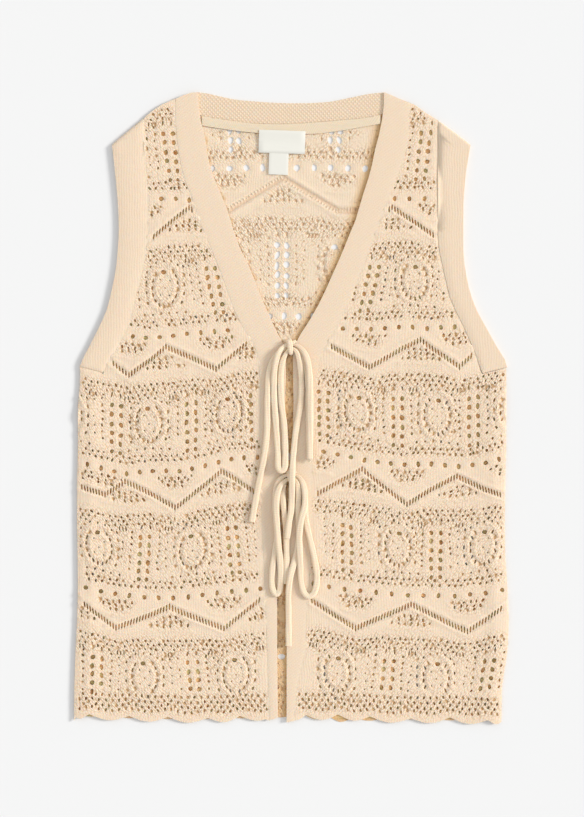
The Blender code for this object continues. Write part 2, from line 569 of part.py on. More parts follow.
def make_cord(name, table, material, collection):
    """A flattened round cord: its curve is drawn tall and pressed down by the object's Z scale."""
    base = FRONT_REST + BAND_WALL
    curve = bpy.data.curves.new(name, "CURVE")
    curve.dimensions = "3D"
    curve.bevel_depth = CORD_WIDTH / 2 * MM
    curve.bevel_resolution = 2
    curve.use_fill_caps = True
    route = smooth_route(table)
    spline = curve.splines.new("POLY")
    spline.points.add(len(route) - 1)
    for point, (x, y, lift, width) in zip(spline.points, route):
        point.co = (x * MM, y * MM, (base + lift) / CORD_FLATTEN * MM, 1)
        point.radius = width
    obj = add_object(name, curve, material, collection)
    obj.scale.z = CORD_FLATTEN
    return obj


def build():
    clear_scene()
    garment = new_collection("openwork_tie_cardigan")
    knit = finish("openwork_cotton_knit", KNIT_COLOUR, KNIT_ROUGHNESS)
    band = finish("close_cotton_knit", BAND_COLOUR, KNIT_ROUGHNESS)
    tie = finish("tubular_cotton_cord", TIE_COLOUR, KNIT_ROUGHNESS)
    tape = finish("cotton_neck_tape", TAPE_COLOUR, KNIT_ROUGHNESS)
    label = finish("woven_label", LABEL_COLOUR, LABEL_ROUGHNESS)

    make_back_panel(knit, garment)
    for half in (RIGHT, LEFT):
        make_front(half, knit, garment)
        make_front_band(half, band, garment)
        make_armhole_band(half, band, garment)
    make_back_neck_band(band, garment)
    make_neck_tape(tape, garment)
    back_top = WALL + SEAM_GAP
    make_label("woven_label", LABEL, back_top + LABEL_HANG, LABEL_SAG, label, garment)
    make_label("size_tab", TAB, back_top, 0.0, label, garment)
    make_cord("upper_tie_right", UPPER_TIE_RIGHT, tie, garment)
    make_cord("upper_tie_left", UPPER_TIE_LEFT, tie, garment)
    make_cord("upper_bow_knot", UPPER_WRAP, tie, garment)
    make_cord("lower_tie_right", LOWER_TIE_RIGHT, tie, garment)
    make_cord("lower_tie_left", LOWER_TIE_LEFT, tie, garment)
    make_cord("lower_bow_knot", LOWER_WRAP, tie, garment)


build()
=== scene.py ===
"""An openwork-knit cotton vest with two tie bows, laid out flat on its back and seen from straight above.

The lace is charted: each front is a few bands of one repeat, a ladder of big holes beside a ring,
under a zigzag of slits and a row of eyelets, and each band lies half a repeat to the side of the one above.
Chart places are in millimetres right and down from the corner of the sheet that the garment lies on.
"""

import math
import random
from collections import namedtuple
from functools import partial

import bmesh
import bpy
import numpy as np
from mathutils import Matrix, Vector
from mathutils.bvhtree import BVHTree
from mathutils.geometry import delaunay_2d_cdt
from mathutils.kdtree import KDTree


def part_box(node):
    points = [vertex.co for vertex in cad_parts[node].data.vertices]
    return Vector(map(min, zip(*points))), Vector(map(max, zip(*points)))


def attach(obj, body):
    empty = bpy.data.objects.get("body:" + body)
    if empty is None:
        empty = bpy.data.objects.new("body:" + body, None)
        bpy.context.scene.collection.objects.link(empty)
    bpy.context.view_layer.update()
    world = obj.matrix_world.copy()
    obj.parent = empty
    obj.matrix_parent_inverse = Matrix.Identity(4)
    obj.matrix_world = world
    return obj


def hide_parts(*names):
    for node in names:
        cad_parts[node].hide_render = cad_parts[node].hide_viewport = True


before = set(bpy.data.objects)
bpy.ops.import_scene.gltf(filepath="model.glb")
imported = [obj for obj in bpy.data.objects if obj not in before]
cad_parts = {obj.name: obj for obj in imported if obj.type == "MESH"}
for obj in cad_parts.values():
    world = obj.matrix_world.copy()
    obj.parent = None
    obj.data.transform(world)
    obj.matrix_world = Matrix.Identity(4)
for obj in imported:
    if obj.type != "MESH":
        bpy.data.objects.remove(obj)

bl_info = {
    "name": "Openwork tie vest",
    "version": (1, 0, 0),
    "blender": (4, 5, 0),
    "location": "View3D > Sidebar > Vest",
    "description": "Builds a hand-charted openwork knit vest with tie bows around its packed frame",
    "category": "Add Mesh",
}

MM = 0.001
PER_METRE = 1000
CHART_CENTRE = (291.6, 407.8)  # the garment's middle on its sheet, in chart millimetres
SHEET_SIZE = (584.0, 817.0)  # the sheet is as wide and long as the picture, a millimetre a dot

Hole = namedtuple("Hole", "across along length width angle sides seeded", defaults=(True,))
Row = namedtuple("Row", "first pitch line")
Band = namedtuple("Band", "ladders rings turns")
Chart = namedtuple("Chart", "mirror rows bands hem")

# Chart heights inside a band, counted down from the eyelet row above it, on a band this deep
BAND_DEPTH = 125.5
PEAK, VALLEY = 9.0, 36.0  # the zigzag's turns
PEAK_TO, VALLEY_FROM = 13.0, 20.0  # a turn above the one is a peak, and below the other a valley
LADDER_TOP, LADDER_FOOT = 55.0, 118.0

# The eyelet rows of each panel from the top: first eyelet, pitch, and the row's line (across, down)
ROWS_RIGHT = (
    Row(147.5, 14.0, ((120, 62), (200, 62))),
    Row(147.5, 14.0, ((120, 200), (147, 199.5), (175, 199), (200, 200.5))),
    Row(
        132.5, 13.6,
        ((110, 333), (132, 336), (150, 338.5), (170, 336.5), (197, 332.5), (226, 330.5), (246, 328.5)),
    ),
    Row(
        100.8, 13.05,
        ((78, 462), (101, 468), (124, 474), (150, 471), (180, 471), (208, 465), (233, 459), (262, 457)),
    ),
    Row(
        86.0, 14.55,
        ((74, 584), (86, 587.5), (113, 594), (145, 597), (178, 598), (210, 594), (237, 591), (268, 588)),
    ),
    Row(86.0, 14.5, ((74, 716), (120, 722), (200, 724), (268, 718))),
)
ROWS_LEFT = (
    Row(394.5, 15.0, ((380, 62), (470, 62))),
    Row(394.5, 15.0, ((380, 199), (394, 198.5), (424, 198.5), (450, 199))),
    Row(
        342.5, 14.06,
        ((330, 328), (357, 329), (373, 329.5), (402, 326.5), (428, 328.5), (455, 327), (475, 324)),
    ),
    Row(
        323.7, 13.5,
        ((312, 449), (350, 457.5), (376, 462), (402, 465), (430, 464), (458, 467), (485, 463), (508, 456)),
    ),
    Row(329.0, 15.7, ((306, 583), (358, 591), (405, 595), (453, 596), (485, 593), (512, 588))),
    Row(329.0, 15.0, ((300, 716), (340, 721), (400, 723), (470, 726), (512, 720))),
)
# Each band's ladders (across at its top, across at its foot), rings, and the zigzag's turns (across, height)
BANDS_RIGHT = (
    Band(((166.5, 175.5),), (128, 207), ()),
    Band(((208.5, 221.5), (121, 128)), (165, 253), ((145, 40), (189, 7.5), (203, 14))),
    Band(
        ((116.2, 116.2), (191.3, 191.3), (255.5, 255.5)), (149, 229, 69),
        ((104, 22), (129, VALLEY), (166, PEAK), (216, VALLEY), (252, 11)),
    ),
    Band(
        ((146, 141.8), (230.5, 237)), (99, 192.5),
        ((76, 24), (105, 26), (125, 8), (175, VALLEY), (221, PEAK), (262, 38)),
    ),
    Band(
        ((97.5, 95.5), (191.5, 197.5)), (144.5, 236, 56),
        ((76, 12), (116, 33), (169.5, PEAK), (224, 35), (268, 5)),
    ),
)
BANDS_LEFT = (
    Band(((427.5, 418.5),), (385, 465), ()),
    Band(((376.5, 362), (462, 455)), (414, 325), ((378, 18), (392, 8.5), (436, 37))),
    Band(
        ((323.5, 323.5), (397.5, 397.5), (473.5, 473.5)), (357.5, 437, 513),
        ((326, 16), (369, VALLEY), (420.5, 11), (459.4, VALLEY), (480, 22)),
    ),
    Band(
        ((346.5, 347.3), (436, 435.5)), (397.7, 483),
        ((318, 40), (362, PEAK), (407, 38), (457, PEAK), (506, 38)),
    ),
    Band(
        ((390.5, 383), (490.5, 481)), (337, 436),
        ((306, 13), (355.5, VALLEY), (411, PEAK), (467.4, 35), (510, 13)),
    ),
)
# The scalloped hems, left to right on the sheet: each point between two scallops (across, down)
HEM_RIGHT = ((70, 713), (89, 714), (129, 716), (168, 717), (208, 718), (240, 716), (276, 715))
HEM_BACK = (
    (72, 711), (110, 712.5), (148, 714), (187, 714.5), (224, 714), (262, 713), (300, 712), (329, 716.5),
    (353, 717.5), (391, 714), (430, 715), (469, 716), (507, 714),
)
HEM_LEFT = (
    (286, 715), (306, 715), (338, 714.5), (370, 716.5), (411, 718.5), (450, 717.5), (488, 720), (506, 718),
)
SCALLOP = 5.2  # how far a scallop hangs below those points
SCALLOP_POWER = 1.15  # 1 and over makes soft waves of them, under 1 round lobes
SCALLOP_STEPS = 10
SCALLOP_INSET = 1  # and no point of them lies this near the hem's ends

CHART_RIGHT = Chart(1, ROWS_RIGHT, BANDS_RIGHT, HEM_RIGHT)
CHART_LEFT = Chart(-1, ROWS_LEFT, BANDS_LEFT, HEM_LEFT)

# One repeat, hole by hole. Columns: across from the ring's or ladder's middle, height in the band,
# length and width of the hole, and its lean from upright in degrees
LADDER = (
    (-4.4, 56.0, 4.6, 1.8, 8), (4.4, 56.0, 4.6, 1.8, -8), (-4.6, 65.5, 4.8, 4.0, 10),
    (4.6, 65.5, 4.8, 4.0, -10), (-4.6, 74.0, 5.0, 4.2, 12), (4.6, 74.0, 5.0, 4.2, -8),
    (-4.6, 82.5, 5.0, 4.2, 6), (4.6, 82.5, 5.0, 4.2, -12), (-4.5, 91.0, 4.8, 4.1, 10),
    (4.5, 91.0, 4.8, 4.1, -10), (-4.4, 99.5, 4.8, 3.9, 8), (4.4, 99.5, 4.8, 3.9, -8),
    (-4.2, 107.8, 4.4, 3.3, 12), (4.2, 107.8, 4.4, 3.3, -12), (-3.8, 115.4, 3.2, 2.4, 16),
    (3.8, 115.4, 3.2, 2.4, -16),
)
RING = (
    (-1.5, 66.5, 4.4, 5.4, 0), (18.0, 62.0, 3.4, 1.9, -20), (18.8, 70.0, 4.4, 2.0, -14),
    (19.2, 79.0, 4.4, 2.1, -6), (19.0, 87.5, 4.4, 2.1, 10), (16.8, 95.5, 3.8, 2.4, 26),
    (-18.0, 66.0, 3.2, 1.9, 14), (-18.6, 75.0, 3.4, 1.9, 8), (-18.4, 84.5, 3.4, 1.9, -6),
    (-17.2, 94.0, 3.8, 2.4, -22), (-9.0, 57.5, 2.8, 1.8, 20), (-1.0, 56.5, 2.8, 1.8, 0),
    (6.0, 57.0, 2.8, 1.8, -12), (12.5, 60.5, 2.8, 1.8, -24), (-14.5, 61.0, 2.8, 1.8, 20),
    (-20.5, 105.0, 3.2, 2.3, 24), (-12.0, 104.5, 2.4, 1.8, 12), (-4.0, 104.0, 3.0, 2.1, 10),
    (4.0, 104.0, 3.0, 2.1, -10), (12.0, 104.5, 2.4, 1.8, -12), (20.5, 105.0, 3.2, 2.3, -24),
    (-5.0, 73.0, 1.7, 1.4, 30), (5.0, 74.5, 1.7, 1.4, -30), (0.0, 81.0, 1.8, 1.5, 0),
    (-4.5, 87.0, 1.7, 1.4, 0), (4.5, 88.0, 1.7, 1.4, 0), (-27.0, 57.0, 5.4, 1.6, 10),
    (-24.0, 57.4, 5.4, 1.5, 6), (-20.6, 57.0, 5.0, 1.5, 2), (27.0, 57.0, 5.4, 1.6, -10),
    (24.0, 57.4, 5.4, 1.5, -6), (20.6, 57.0, 5.0, 1.5, -2),
)
RING_BIG = 5.0  # a hole of a ring wider than this is one of the big holes
RING_MIDDLE = 80.0  # the height of a ring's middle in its band
RING_REACH = (12.8, 17.6)  # half its width and half its height
RING_SLIT = (4.8, 1.95)
RING_LEAN = 24.0  # the most that they lean, half way between its sides and its foot
RING_SLITS = 17
RING_GAP = (6.0, 10.0)  # its big hole takes the place of slits this far either side, from this far up
RING_EDGES = (0.72, 1.26)  # the raised strands inside and outside the slits, as shares of the ring
RING_STEPS = 36
# Columns of small holes beside a ladder. Columns: across, first and last height, step, length, width
SIDE_COLUMNS = (
    (-14.0, 60.0, 104.0, 6.3, 2.9, 2.3), (14.0, 60.0, 104.0, 6.3, 2.9, 2.3),
    (-22.0, 62.0, 102.0, 8.0, 2.2, 1.6), (22.0, 62.0, 102.0, 8.0, 2.2, 1.6),
)
# Rows of dots right across a band. Columns: height, pitch, offset in pitches, length, width
DOT_ROWS = (
    (43.5, 5.9, 0.0, 3.1, 2.3), (47.8, 5.9, 0.5, 3.1, 2.3), (52.2, 5.9, 0.0, 3.0, 2.2),
    (110.8, 6.1, 0.0, 3.1, 2.4), (115.2, 6.1, 0.5, 3.1, 2.4),
)
# Dots under each peak and over each valley. Columns: height, how many, pitch
PEAK_DOTS = ((20.0, 3, 6.0), (24.0, 5, 6.0), (28.0, 7, 6.2))
VALLEY_DOTS = ((7.0, 6, 6.3), (10.8, 5, 6.3), (14.6, 3, 6.3))
# The raised strand under a peak's dots and over a valley's. Columns: height, half width, bend, its way
PEAK_ARCH = (33, 23, 20, 1)
VALLEY_ARCH = (21, 14, 12, -1)
ARCH_STEP = 3
EYELET = (5.0, 4.3)  # length and width of an eyelet
EYELET_SIZES = (0.85, 1.18)
EYELET_STRAY, EYELET_TURN = 0.4, 20  # how far an eyelet strays, and how far it turns, in degrees
LADDER_SIZES = (0.95, 1.26)
LADDER_WIDTHS = (1.05, 1.25)
LADDER_STRAY, LADDER_TURN = (0.45, 0.6), 12
EYELET_SIDES, BIG_SIDES, SMALL_SIDES = 9, 8, 6
SLIT = (7.2, 1.85)
SLIT_PITCH = 2.95
SLIT_UPRIGHT = 9.0  # the slits stand upright at a turn, and lean this far from it
STRAND_STEP = 2.6
ZIGZAG_EDGE = 4.6  # from the middle of a zigzag to the raised strand on each side of it
SLIT_LEAN = 11.0
DOT = (3.7, 2.4)
DOT_TURN = 34.0  # how far a dot may turn from its lean
DOT_SIZES = (0.74, 1.2)
DOT_SLIMNESS = (0.82, 1.08)
DOT_STRAY = 0.75
DOT_GAPS = 0.06  # the share of the dots that is drawn shut
DOT_LEAN = 20.0  # how far the dots lean out from the front edges
DIP = 4.0  # how far the dotted rows bend down below a valley
DIP_REACH = 15.0
DIP_ABOVE = 60.0  # only the rows over the ladders and rings do
# The rows of dots over a hem. Columns: height over the hem, pitch, offset in pitches
HEM_ROWS = ((21.0, 6.4, 0.0), (16.4, 6.4, 0.5), (12.2, 6.4, 0.0), (8.4, 6.4, 0.5))
HEM_FADE = 26.0  # the height over the hem where its scallops no longer show in the rows
HEM_STRAY, HEM_TURN = (0.5, 0.4), 30

# The back is seen from its inner side. Its repeat is symmetrical about the middle
ROWS_BACK = (
    Row(212.0, 17.0, ((70, 34), (512, 34))),
    Row(212.0, 17.0, ((70, 172), (150, 169), (283, 167), (420, 169), (512, 172))),
    Row(110.0, 14.5, ((70, 322), (283, 316), (512, 322))),
    Row(100.0, 14.5, ((70, 464), (283, 456), (512, 464))),
    Row(86.0, 14.5, ((70, 592), (283, 588), (512, 592))),
    Row(86.0, 14.5, ((70, 720), (283, 718), (512, 720))),
)
BANDS_BACK = (
    Band(((232, 236), (338, 334)), (283,), ()),
    Band(
        ((176, 176), (282, 282), (388, 388)), (230, 336),
        (
            (120, PEAK), (176, VALLEY), (228, PEAK + 27), (283, PEAK), (338, VALLEY), (388, PEAK + 27),
            (446, PEAK),
        ),
    ),
    Band(
        ((122, 122), (230, 230), (336, 336), (444, 444)), (176, 283, 390),
        (
            (92, 26), (122, PEAK), (176, VALLEY), (230, PEAK), (283, VALLEY), (336, PEAK), (390, VALLEY),
            (444, PEAK), (480, 26),
        ),
    ),
    Band(
        ((98, 98), (190, 190), (283, 283), (376, 376), (468, 468)), (144, 237, 330, 422),
        (
            (78, 16), (98, PEAK), (144, VALLEY), (190, PEAK), (237, VALLEY), (283, PEAK), (330, VALLEY),
            (376, PEAK), (422, VALLEY), (468, PEAK), (500, 30),
        ),
    ),
    Band(
        ((144, 144), (237, 237), (330, 330), (422, 422)), (98, 190, 283, 376, 468),
        (
            (78, 28), (98, VALLEY), (144, PEAK), (190, VALLEY), (237, PEAK), (283, VALLEY), (330, PEAK),
            (376, VALLEY), (422, PEAK), (468, VALLEY), (500, 14),
        ),
    ),
)
CHART_BACK = Chart(1, ROWS_BACK, BANDS_BACK, HEM_BACK)

# The ties, each from its seam to its free end, in metres.
# Columns: across, along, height of the cord's middle, and its width as a share of TIE_WIDTH
UPPER_TIE_RIGHT = (
    (-0.0062, 0.0642, 0.0049, 0.5), (-0.002, 0.0632, 0.00485, 0.5),
    (0.0025, 0.063, 0.00485, 0.5), (0.0085, 0.0602, 0.0065, 0.75), (0.0138, 0.053, 0.0089, 0.95),
    (0.017, 0.042, 0.0094, 1), (0.0184, 0.023, 0.0094, 1), (0.0187, -0.008, 0.0094, 1),
    (0.0184, -0.036, 0.0094, 1), (0.0182, -0.0485, 0.0094, 1), (0.0181, -0.0508, 0.0088, 1),
    (0.018, -0.0517, 0.00755, 1), (0.0179, -0.0508, 0.0063, 1), (0.0178, -0.0485, 0.0057, 1),
    (0.0176, -0.036, 0.0057, 1), (0.017, -0.008, 0.0057, 1), (0.0166, 0.02, 0.0057, 1),
    (0.0152, 0.037, 0.0057, 1), (0.0118, 0.049, 0.0057, 0.9), (0.0064, 0.0564, 0.0052, 0.65),
    (0.001, 0.0592, 0.00485, 0.5), (-0.0052, 0.0592, 0.00485, 0.5), (-0.0118, 0.056, 0.0055, 0.8),
    (-0.0184, 0.047, 0.0057, 1), (-0.0228, 0.034, 0.0057, 1), (-0.0242, 0.008, 0.0057, 1),
    (-0.0247, -0.025, 0.0057, 1), (-0.028, -0.052, 0.0057, 1), (-0.033, -0.077, 0.0057, 1),
    (-0.0367, -0.097, 0.0057, 1), (-0.0397, -0.114, 0.0057, 1),
)
UPPER_TIE_LEFT = (
    (0.0046, 0.0669, 0.0059, 0.5), (0.0014, 0.0652, 0.0066, 0.5),
    (-0.0025, 0.0634, 0.00685, 0.5), (-0.0076, 0.0614, 0.0072, 0.65), (-0.0124, 0.0556, 0.009, 0.9),
    (-0.0156, 0.046, 0.0092, 1), (-0.0173, 0.034, 0.0081, 1), (-0.0177, 0.022, 0.0065, 1),
    (-0.0174, 0.008, 0.0057, 1), (-0.0156, -0.017, 0.0057, 1), (-0.014, -0.042, 0.0057, 1),
    (-0.0137, -0.051, 0.008, 1), (-0.0135, -0.058, 0.0104, 1), (-0.0125, -0.0614, 0.0108, 1),
    (-0.01, -0.0629, 0.0108, 1), (-0.0075, -0.0614, 0.0108, 1), (-0.0065, -0.058, 0.0104, 1),
    (-0.0063, -0.051, 0.008, 1), (-0.0063, -0.042, 0.0057, 1), (-0.0074, -0.017, 0.0057, 1),
    (-0.0102, 0.006, 0.0057, 1), (-0.0109, 0.022, 0.0057, 1), (-0.0107, 0.035, 0.0057, 1),
    (-0.0094, 0.045, 0.006, 0.95), (-0.0066, 0.0524, 0.0066, 0.75), (-0.003, 0.0576, 0.00685, 0.55),
    (0.0014, 0.0588, 0.00685, 0.5), (0.005, 0.0556, 0.0078, 0.7), (0.0072, 0.049, 0.0078, 0.9),
    (0.0088, 0.04, 0.0071, 1), (0.0096, 0.029, 0.0058, 1), (0.0098, 0.016, 0.0057, 1),
    (0.008, -0.002, 0.0057, 1), (0.0044, -0.022, 0.0057, 1), (0.0024, -0.04, 0.0057, 1),
    (0.0016, -0.05, 0.0073, 1), (0.001, -0.059, 0.0113, 1), (0.0007, -0.067, 0.0127, 1),
    (0.0005, -0.075, 0.0123, 1), (0.0003, -0.084, 0.0093, 1), (0, -0.094, 0.0067, 1),
    (-0.0006, -0.103, 0.0075, 1), (-0.0024, -0.114, 0.0091, 1), (-0.0044, -0.13, 0.0094, 1),
)
LOWER_TIE_RIGHT = (
    (-0.0062, -0.0656, 0.0049, 0.5), (-0.002, -0.0667, 0.00485, 0.5),
    (0.0025, -0.067, 0.00485, 0.5), (0.0078, -0.0698, 0.0061, 0.7), (0.0118, -0.077, 0.0086, 0.95),
    (0.0134, -0.087, 0.0094, 1), (0.0128, -0.099, 0.0094, 1), (0.0096, -0.112, 0.0094, 1),
    (0.0078, -0.127, 0.0094, 1), (0.008, -0.14, 0.0093, 1), (0.0085, -0.15, 0.0088, 1),
    (0.0089, -0.16, 0.0065, 1), (0.009, -0.17, 0.0057, 1), (0.0106, -0.18, 0.0057, 1),
    (0.0134, -0.186, 0.0057, 1), (0.0174, -0.1884, 0.0057, 1), (0.0216, -0.186, 0.0057, 1),
    (0.0244, -0.179, 0.0057, 1), (0.0253, -0.167, 0.0057, 1), (0.0228, -0.151, 0.0057, 1),
    (0.0184, -0.131, 0.0057, 1), (0.015, -0.116, 0.0057, 1), (0.0136, -0.103, 0.0057, 1),
    (0.0134, -0.09, 0.0057, 1), (0.012, -0.08, 0.0057, 0.9), (0.0076, -0.0728, 0.0052, 0.65),
    (0.0022, -0.0708, 0.00485, 0.5), (-0.0036, -0.071, 0.00485, 0.5), (-0.0074, -0.0756, 0.0054, 0.75),
    (-0.0088, -0.084, 0.0057, 1), (-0.0085, -0.094, 0.0057, 1), (-0.007, -0.107, 0.0057, 1),
    (-0.0055, -0.124, 0.0057, 1), (-0.0051, -0.148, 0.0057, 1), (-0.005, -0.176, 0.0057, 1),
)
LOWER_TIE_LEFT = (
    (0.0046, -0.0632, 0.0059, 0.5), (0.0014, -0.065, 0.0066, 0.5),
    (-0.0025, -0.0668, 0.00685, 0.5), (-0.0082, -0.0684, 0.0067, 0.65), (-0.0129, -0.073, 0.006, 0.9),
    (-0.0156, -0.082, 0.0057, 1), (-0.0164, -0.097, 0.0057, 1), (-0.0154, -0.111, 0.0057, 1),
    (-0.0144, -0.126, 0.0057, 1), (-0.0155, -0.138, 0.0057, 1), (-0.0174, -0.149, 0.0057, 1),
    (-0.0191, -0.16, 0.0057, 1), (-0.0199, -0.172, 0.0057, 1), (-0.0189, -0.181, 0.0057, 1),
    (-0.0154, -0.1862, 0.0057, 1), (-0.012, -0.1826, 0.0057, 1), (-0.011, -0.173, 0.0057, 1),
    (-0.0111, -0.16, 0.0064, 1), (-0.0118, -0.148, 0.0079, 1), (-0.0131, -0.136, 0.0094, 1),
    (-0.014, -0.122, 0.0094, 1), (-0.0152, -0.104, 0.0094, 1), (-0.0148, -0.09, 0.0094, 1),
    (-0.0122, -0.08, 0.0091, 0.9), (-0.008, -0.074, 0.0078, 0.7), (-0.003, -0.0712, 0.00685, 0.5),
    (0.0022, -0.0712, 0.00685, 0.5), (0.0056, -0.0758, 0.0079, 0.75), (0.007, -0.084, 0.007, 1),
    (0.0067, -0.096, 0.0058, 1), (0.0066, -0.111, 0.0057, 1), (0.0074, -0.127, 0.0057, 1),
    (0.0056, -0.143, 0.0057, 1), (0.002, -0.156, 0.0067, 1), (-0.0008, -0.167, 0.0086, 1),
    (-0.0028, -0.18, 0.0089, 1), (-0.0032, -0.19, 0.0072, 1), (-0.003, -0.202, 0.0057, 1),
    (-0.003, -0.22, 0.0057, 1), (-0.003, -0.238, 0.0057, 1),
)
UPPER_WRAP = (
    (-0.0026, 0.0678, 0.0041, 0.6), (-0.0024, 0.0677, 0.0067, 0.6), (-0.002, 0.0662, 0.0088, 0.6),
    (-0.0014, 0.0611, 0.0094, 0.6), (-0.0008, 0.0558, 0.0088, 0.6), (-0.0006, 0.054, 0.0067, 0.6),
    (-0.0006, 0.0538, 0.0041, 0.6),
)
LOWER_WRAP = (
    (-0.0026, -0.0622, 0.0041, 0.6), (-0.0024, -0.0623, 0.0067, 0.6), (-0.002, -0.0638, 0.0088, 0.6),
    (-0.0014, -0.069, 0.0094, 0.6), (-0.0006, -0.0738, 0.0088, 0.6), (-0.0002, -0.0754, 0.0067, 0.6),
    (-0.0002, -0.0756, 0.0041, 0.6),
)
TIE_WIDTH = 0.006
TIE_FLATTEN = 0.57  # a tie's thickness over its width
TIE_STEP = 0.0012
TIE_SIDES = 24
TIE_SQUARE = 0.75  # under 1 fills out the corners of a tie's section
TIE_CREASE = (0.2, 0.3)  # depth and width of its lengthwise crease, over half its width
CREASE_DRIFT = (0.4, 0.017)  # how far the crease strays from the middle, and over what length
TIE_WAVER = 0.07  # how much its width comes and goes
WAVER_LENGTHS = (0.0085, 0.0053)
TIE_GIRTH = 2.5  # the way round a tie over its width
KNOT_SWELL = 0.5  # how much wider a knot is in its middle than at its feet
TIES = {
    "upper_tie_right": (UPPER_TIE_RIGHT, 0.437, "upper_bow_knot"),
    "upper_tie_left": (UPPER_TIE_LEFT, 0.467, None),
    "lower_tie_right": (LOWER_TIE_RIGHT, 0.380, "lower_bow_knot"),
    "lower_tie_left": (LOWER_TIE_LEFT, 0.434, None),
}
KNOTS = {"upper_bow_knot": UPPER_WRAP, "lower_bow_knot": LOWER_WRAP}
CORD = "tubular_cotton_cord"

# The lace panels' relief, in millimetres
HEM_ZONE = -300.0  # everything below this height along belongs to a hem
LIP = 0.4  # how far the knit dips at the edge of a hole
EDGE_DROP = 0.55  # how far a panel's free edge rounds down
SEWN_DROP = 0.25  # and its edge under a band
RIDGE_HEIGHT = 0.7
RIDGE_WIDTH = 1.3
DOME_HEIGHT = 0.6  # how far the knit stands up inside a ring
DOME_REACH = 9.5
OPEN_REACH = 8.5  # the knit is seed stitch where OPEN_COUNT holes or more lie this near
OPEN_COUNT = 6
PIT_DEPTH = 0.7  # how far the knit dips in a stitch hole that isn't open
PIT_RIM = (1.25, 1.4)  # length and width of a pit's upper rim over those of the hole
PIT_FOOT = 0.85  # and those of its foot
PIT_SIDES = 5
# How much painted shade the pits get
SLIT_PIT_SHADE = 0.5  # how far a slit that is a pit takes a pit's tone
BACK_PIT_SHADE = 0.55  # and how far the back's own pits do
POINT_STRAY = 0.4  # how far the points of a panel's mesh stray from their places
HOLE_WOBBLE = 0.12  # how uneven a hole's rim is, as a share of its size
SEED_RIGHT, SEED_LEFT, SEED_BACK = 11, 12, 5
FRONT_MARGIN, BACK_MARGIN = 1.0, 1.5  # the least knit between a hole and the panel's edge
HOLE_MARGIN = 0.7  # and between the sides of two holes
HOLE_SPREAD = 0.75  # beside seed stitch two holes also keep this share of their reach apart
POINT_MARGIN = 0.5  # no point of the mesh lies this near a hole
ROW_PITCH = 0.87  # from one row of the mesh's points to the next, over their spacing in a row
HEM_CLEAR = 16.0  # how far over HEM_ZONE the hem's own rows of dots take the place of the bands' holes
ALIGNED = 5.0  # a hole of the back this near a big one of the fronts is drawn shut under it
SHUT_WIDTH = 2.5  # of the fronts' stitch holes narrower than this
SHUT_SHARE = 0.3  # this share is pits too, where two stitches close over the hole
OPEN_WIDTH = 3.2  # the back's stitch holes narrower than this are pits, as they look from inside
OPEN_GROWTH = 1.4  # and the wider ones are open, and look this much larger over the white surface
BACK_SINK = 0.4  # the back's inner side lies this far below its solid's
BACK_WALL = 0.9
BACK_COARSER = 1.5  # its mesh is this much coarser than the fronts', as most of it is hidden under them
V_POINT = 0.054  # where the fronts meet, and the slot between them begins, in metres
# The back in the slot between the fronts is painted in their shade this deeply
GAP_PAINTED_SHADE = 0.65  # how far the back in that slot is toned
COVER_STEPS = 11  # millimetres to the left of a front's edge over which its shade fades
COVER_FADE = 0.8

# The seams and the bands' edges, in millimetres
SEAM_LAP = 1.0  # how far a front is let in under its bands
SEAM_NEAR = 1.0  # where it runs this close to them
EDGE_STEP = 3.0
SEAM_CLOSE = 0.25  # how far a band's edge is let out to close on the piece sewn to it
BAND_ROUND = 0.25  # how far a band's edges round down
ARMHOLE_ROUND = 0.9  # and an armhole band's, which stands higher over its panel
BAND_ROUND_REACH = 1.6
TAPE_ROUND, TAPE_ROUND_REACH = 0.3, 0.8
WALL_EASE = 1.2  # how far below a piece's upper side its walls still ease down with it
UPWARDS = 0.3  # the least upward part of a normal on a piece's upper side
CAD_UPWARDS = 0.4  # and on a CAD piece's
SHARP_BAND, SHARP_SHEET, SHARP_TIE = 35, 50, 60  # degrees from which an edge of each is shaded sharp
SKY = 0.1  # a height over the whole garment to look down from, in metres
RIM_LEVEL = 0.004  # the height from which a piece's nearest edge is looked for, in metres
RIM_INSET = 0.0006  # and how far inside that edge its upper side is met
WELD = 1e-6  # a CAD mesh's points this near each other are one
OUTLINE_PROBE = 0.05  # a step off an outline that tells its inside from its outside, in millimetres

# Flat cuts, in metres
LABEL_SIZE = (0.0463, 0.0228)
TAB_SIZE = (0.0195, 0.0232)
LABEL_TURN = -2.0  # degrees
LABEL_WALL = 0.0007
LABEL_CELLS = 16
LABEL_BEND = 0.25  # how far a label's edges bend down, in millimetres
LABEL_BEND_POWER = 14  # and how close to its edges

# The yarn's looks. Cotton is matte, with a fuzz that lightens its edges, and a little light comes through it
YARN_IOR = 1.45
YARN_SPECULAR = 0.25
YARN_GLOW = 0.3
GLOW_REDNESS = (1.0, 0.62, 0.34)  # red goes further through the yarn than blue
GLOW_REACH = 0.002
FUZZ_ROUGHNESS = 0.6
BUMP_STRENGTH = 0.7
# The knits' patterns, in millimetres and degrees: pitch and direction of ribs, and noise cells a millimetre
WALES = (2.6, 90)
WALE_SHARE = 0.28  # of plain openwork's height, where loose fibre is the rest
FIBRE_SCALE = 0.7
PLAIN_HEIGHT = (0.45, 0.5)  # its span and its foot, between the grooves and the seeds' tops
SEED_GRAIN = (3.2, 1.9)
SEED_LEAN = 40.0
SEED_UNEVENNESS = 0.75
SEED_PROFILE = (-2.0, 1.4)  # how steeply a seed falls from its top, and how far that is cut off flat
BAND_RIBS = (2.4, 38)
ARMHOLE_RIBS = (2.6, 90)
GRAIN_SCALE = 0.8
GRAIN_SHARE = 0.72  # of a band's height, where its ribs are the rest
SEED_SLANTS = (2.9, 46)
LOOP_SLANT = 4.6  # how steeply the legs of a plain loop stand
TAPE_SLANT = (1.6, 55)
LABEL_THREADS = (0.9, 2)
DRIFT_SCALE = 0.045
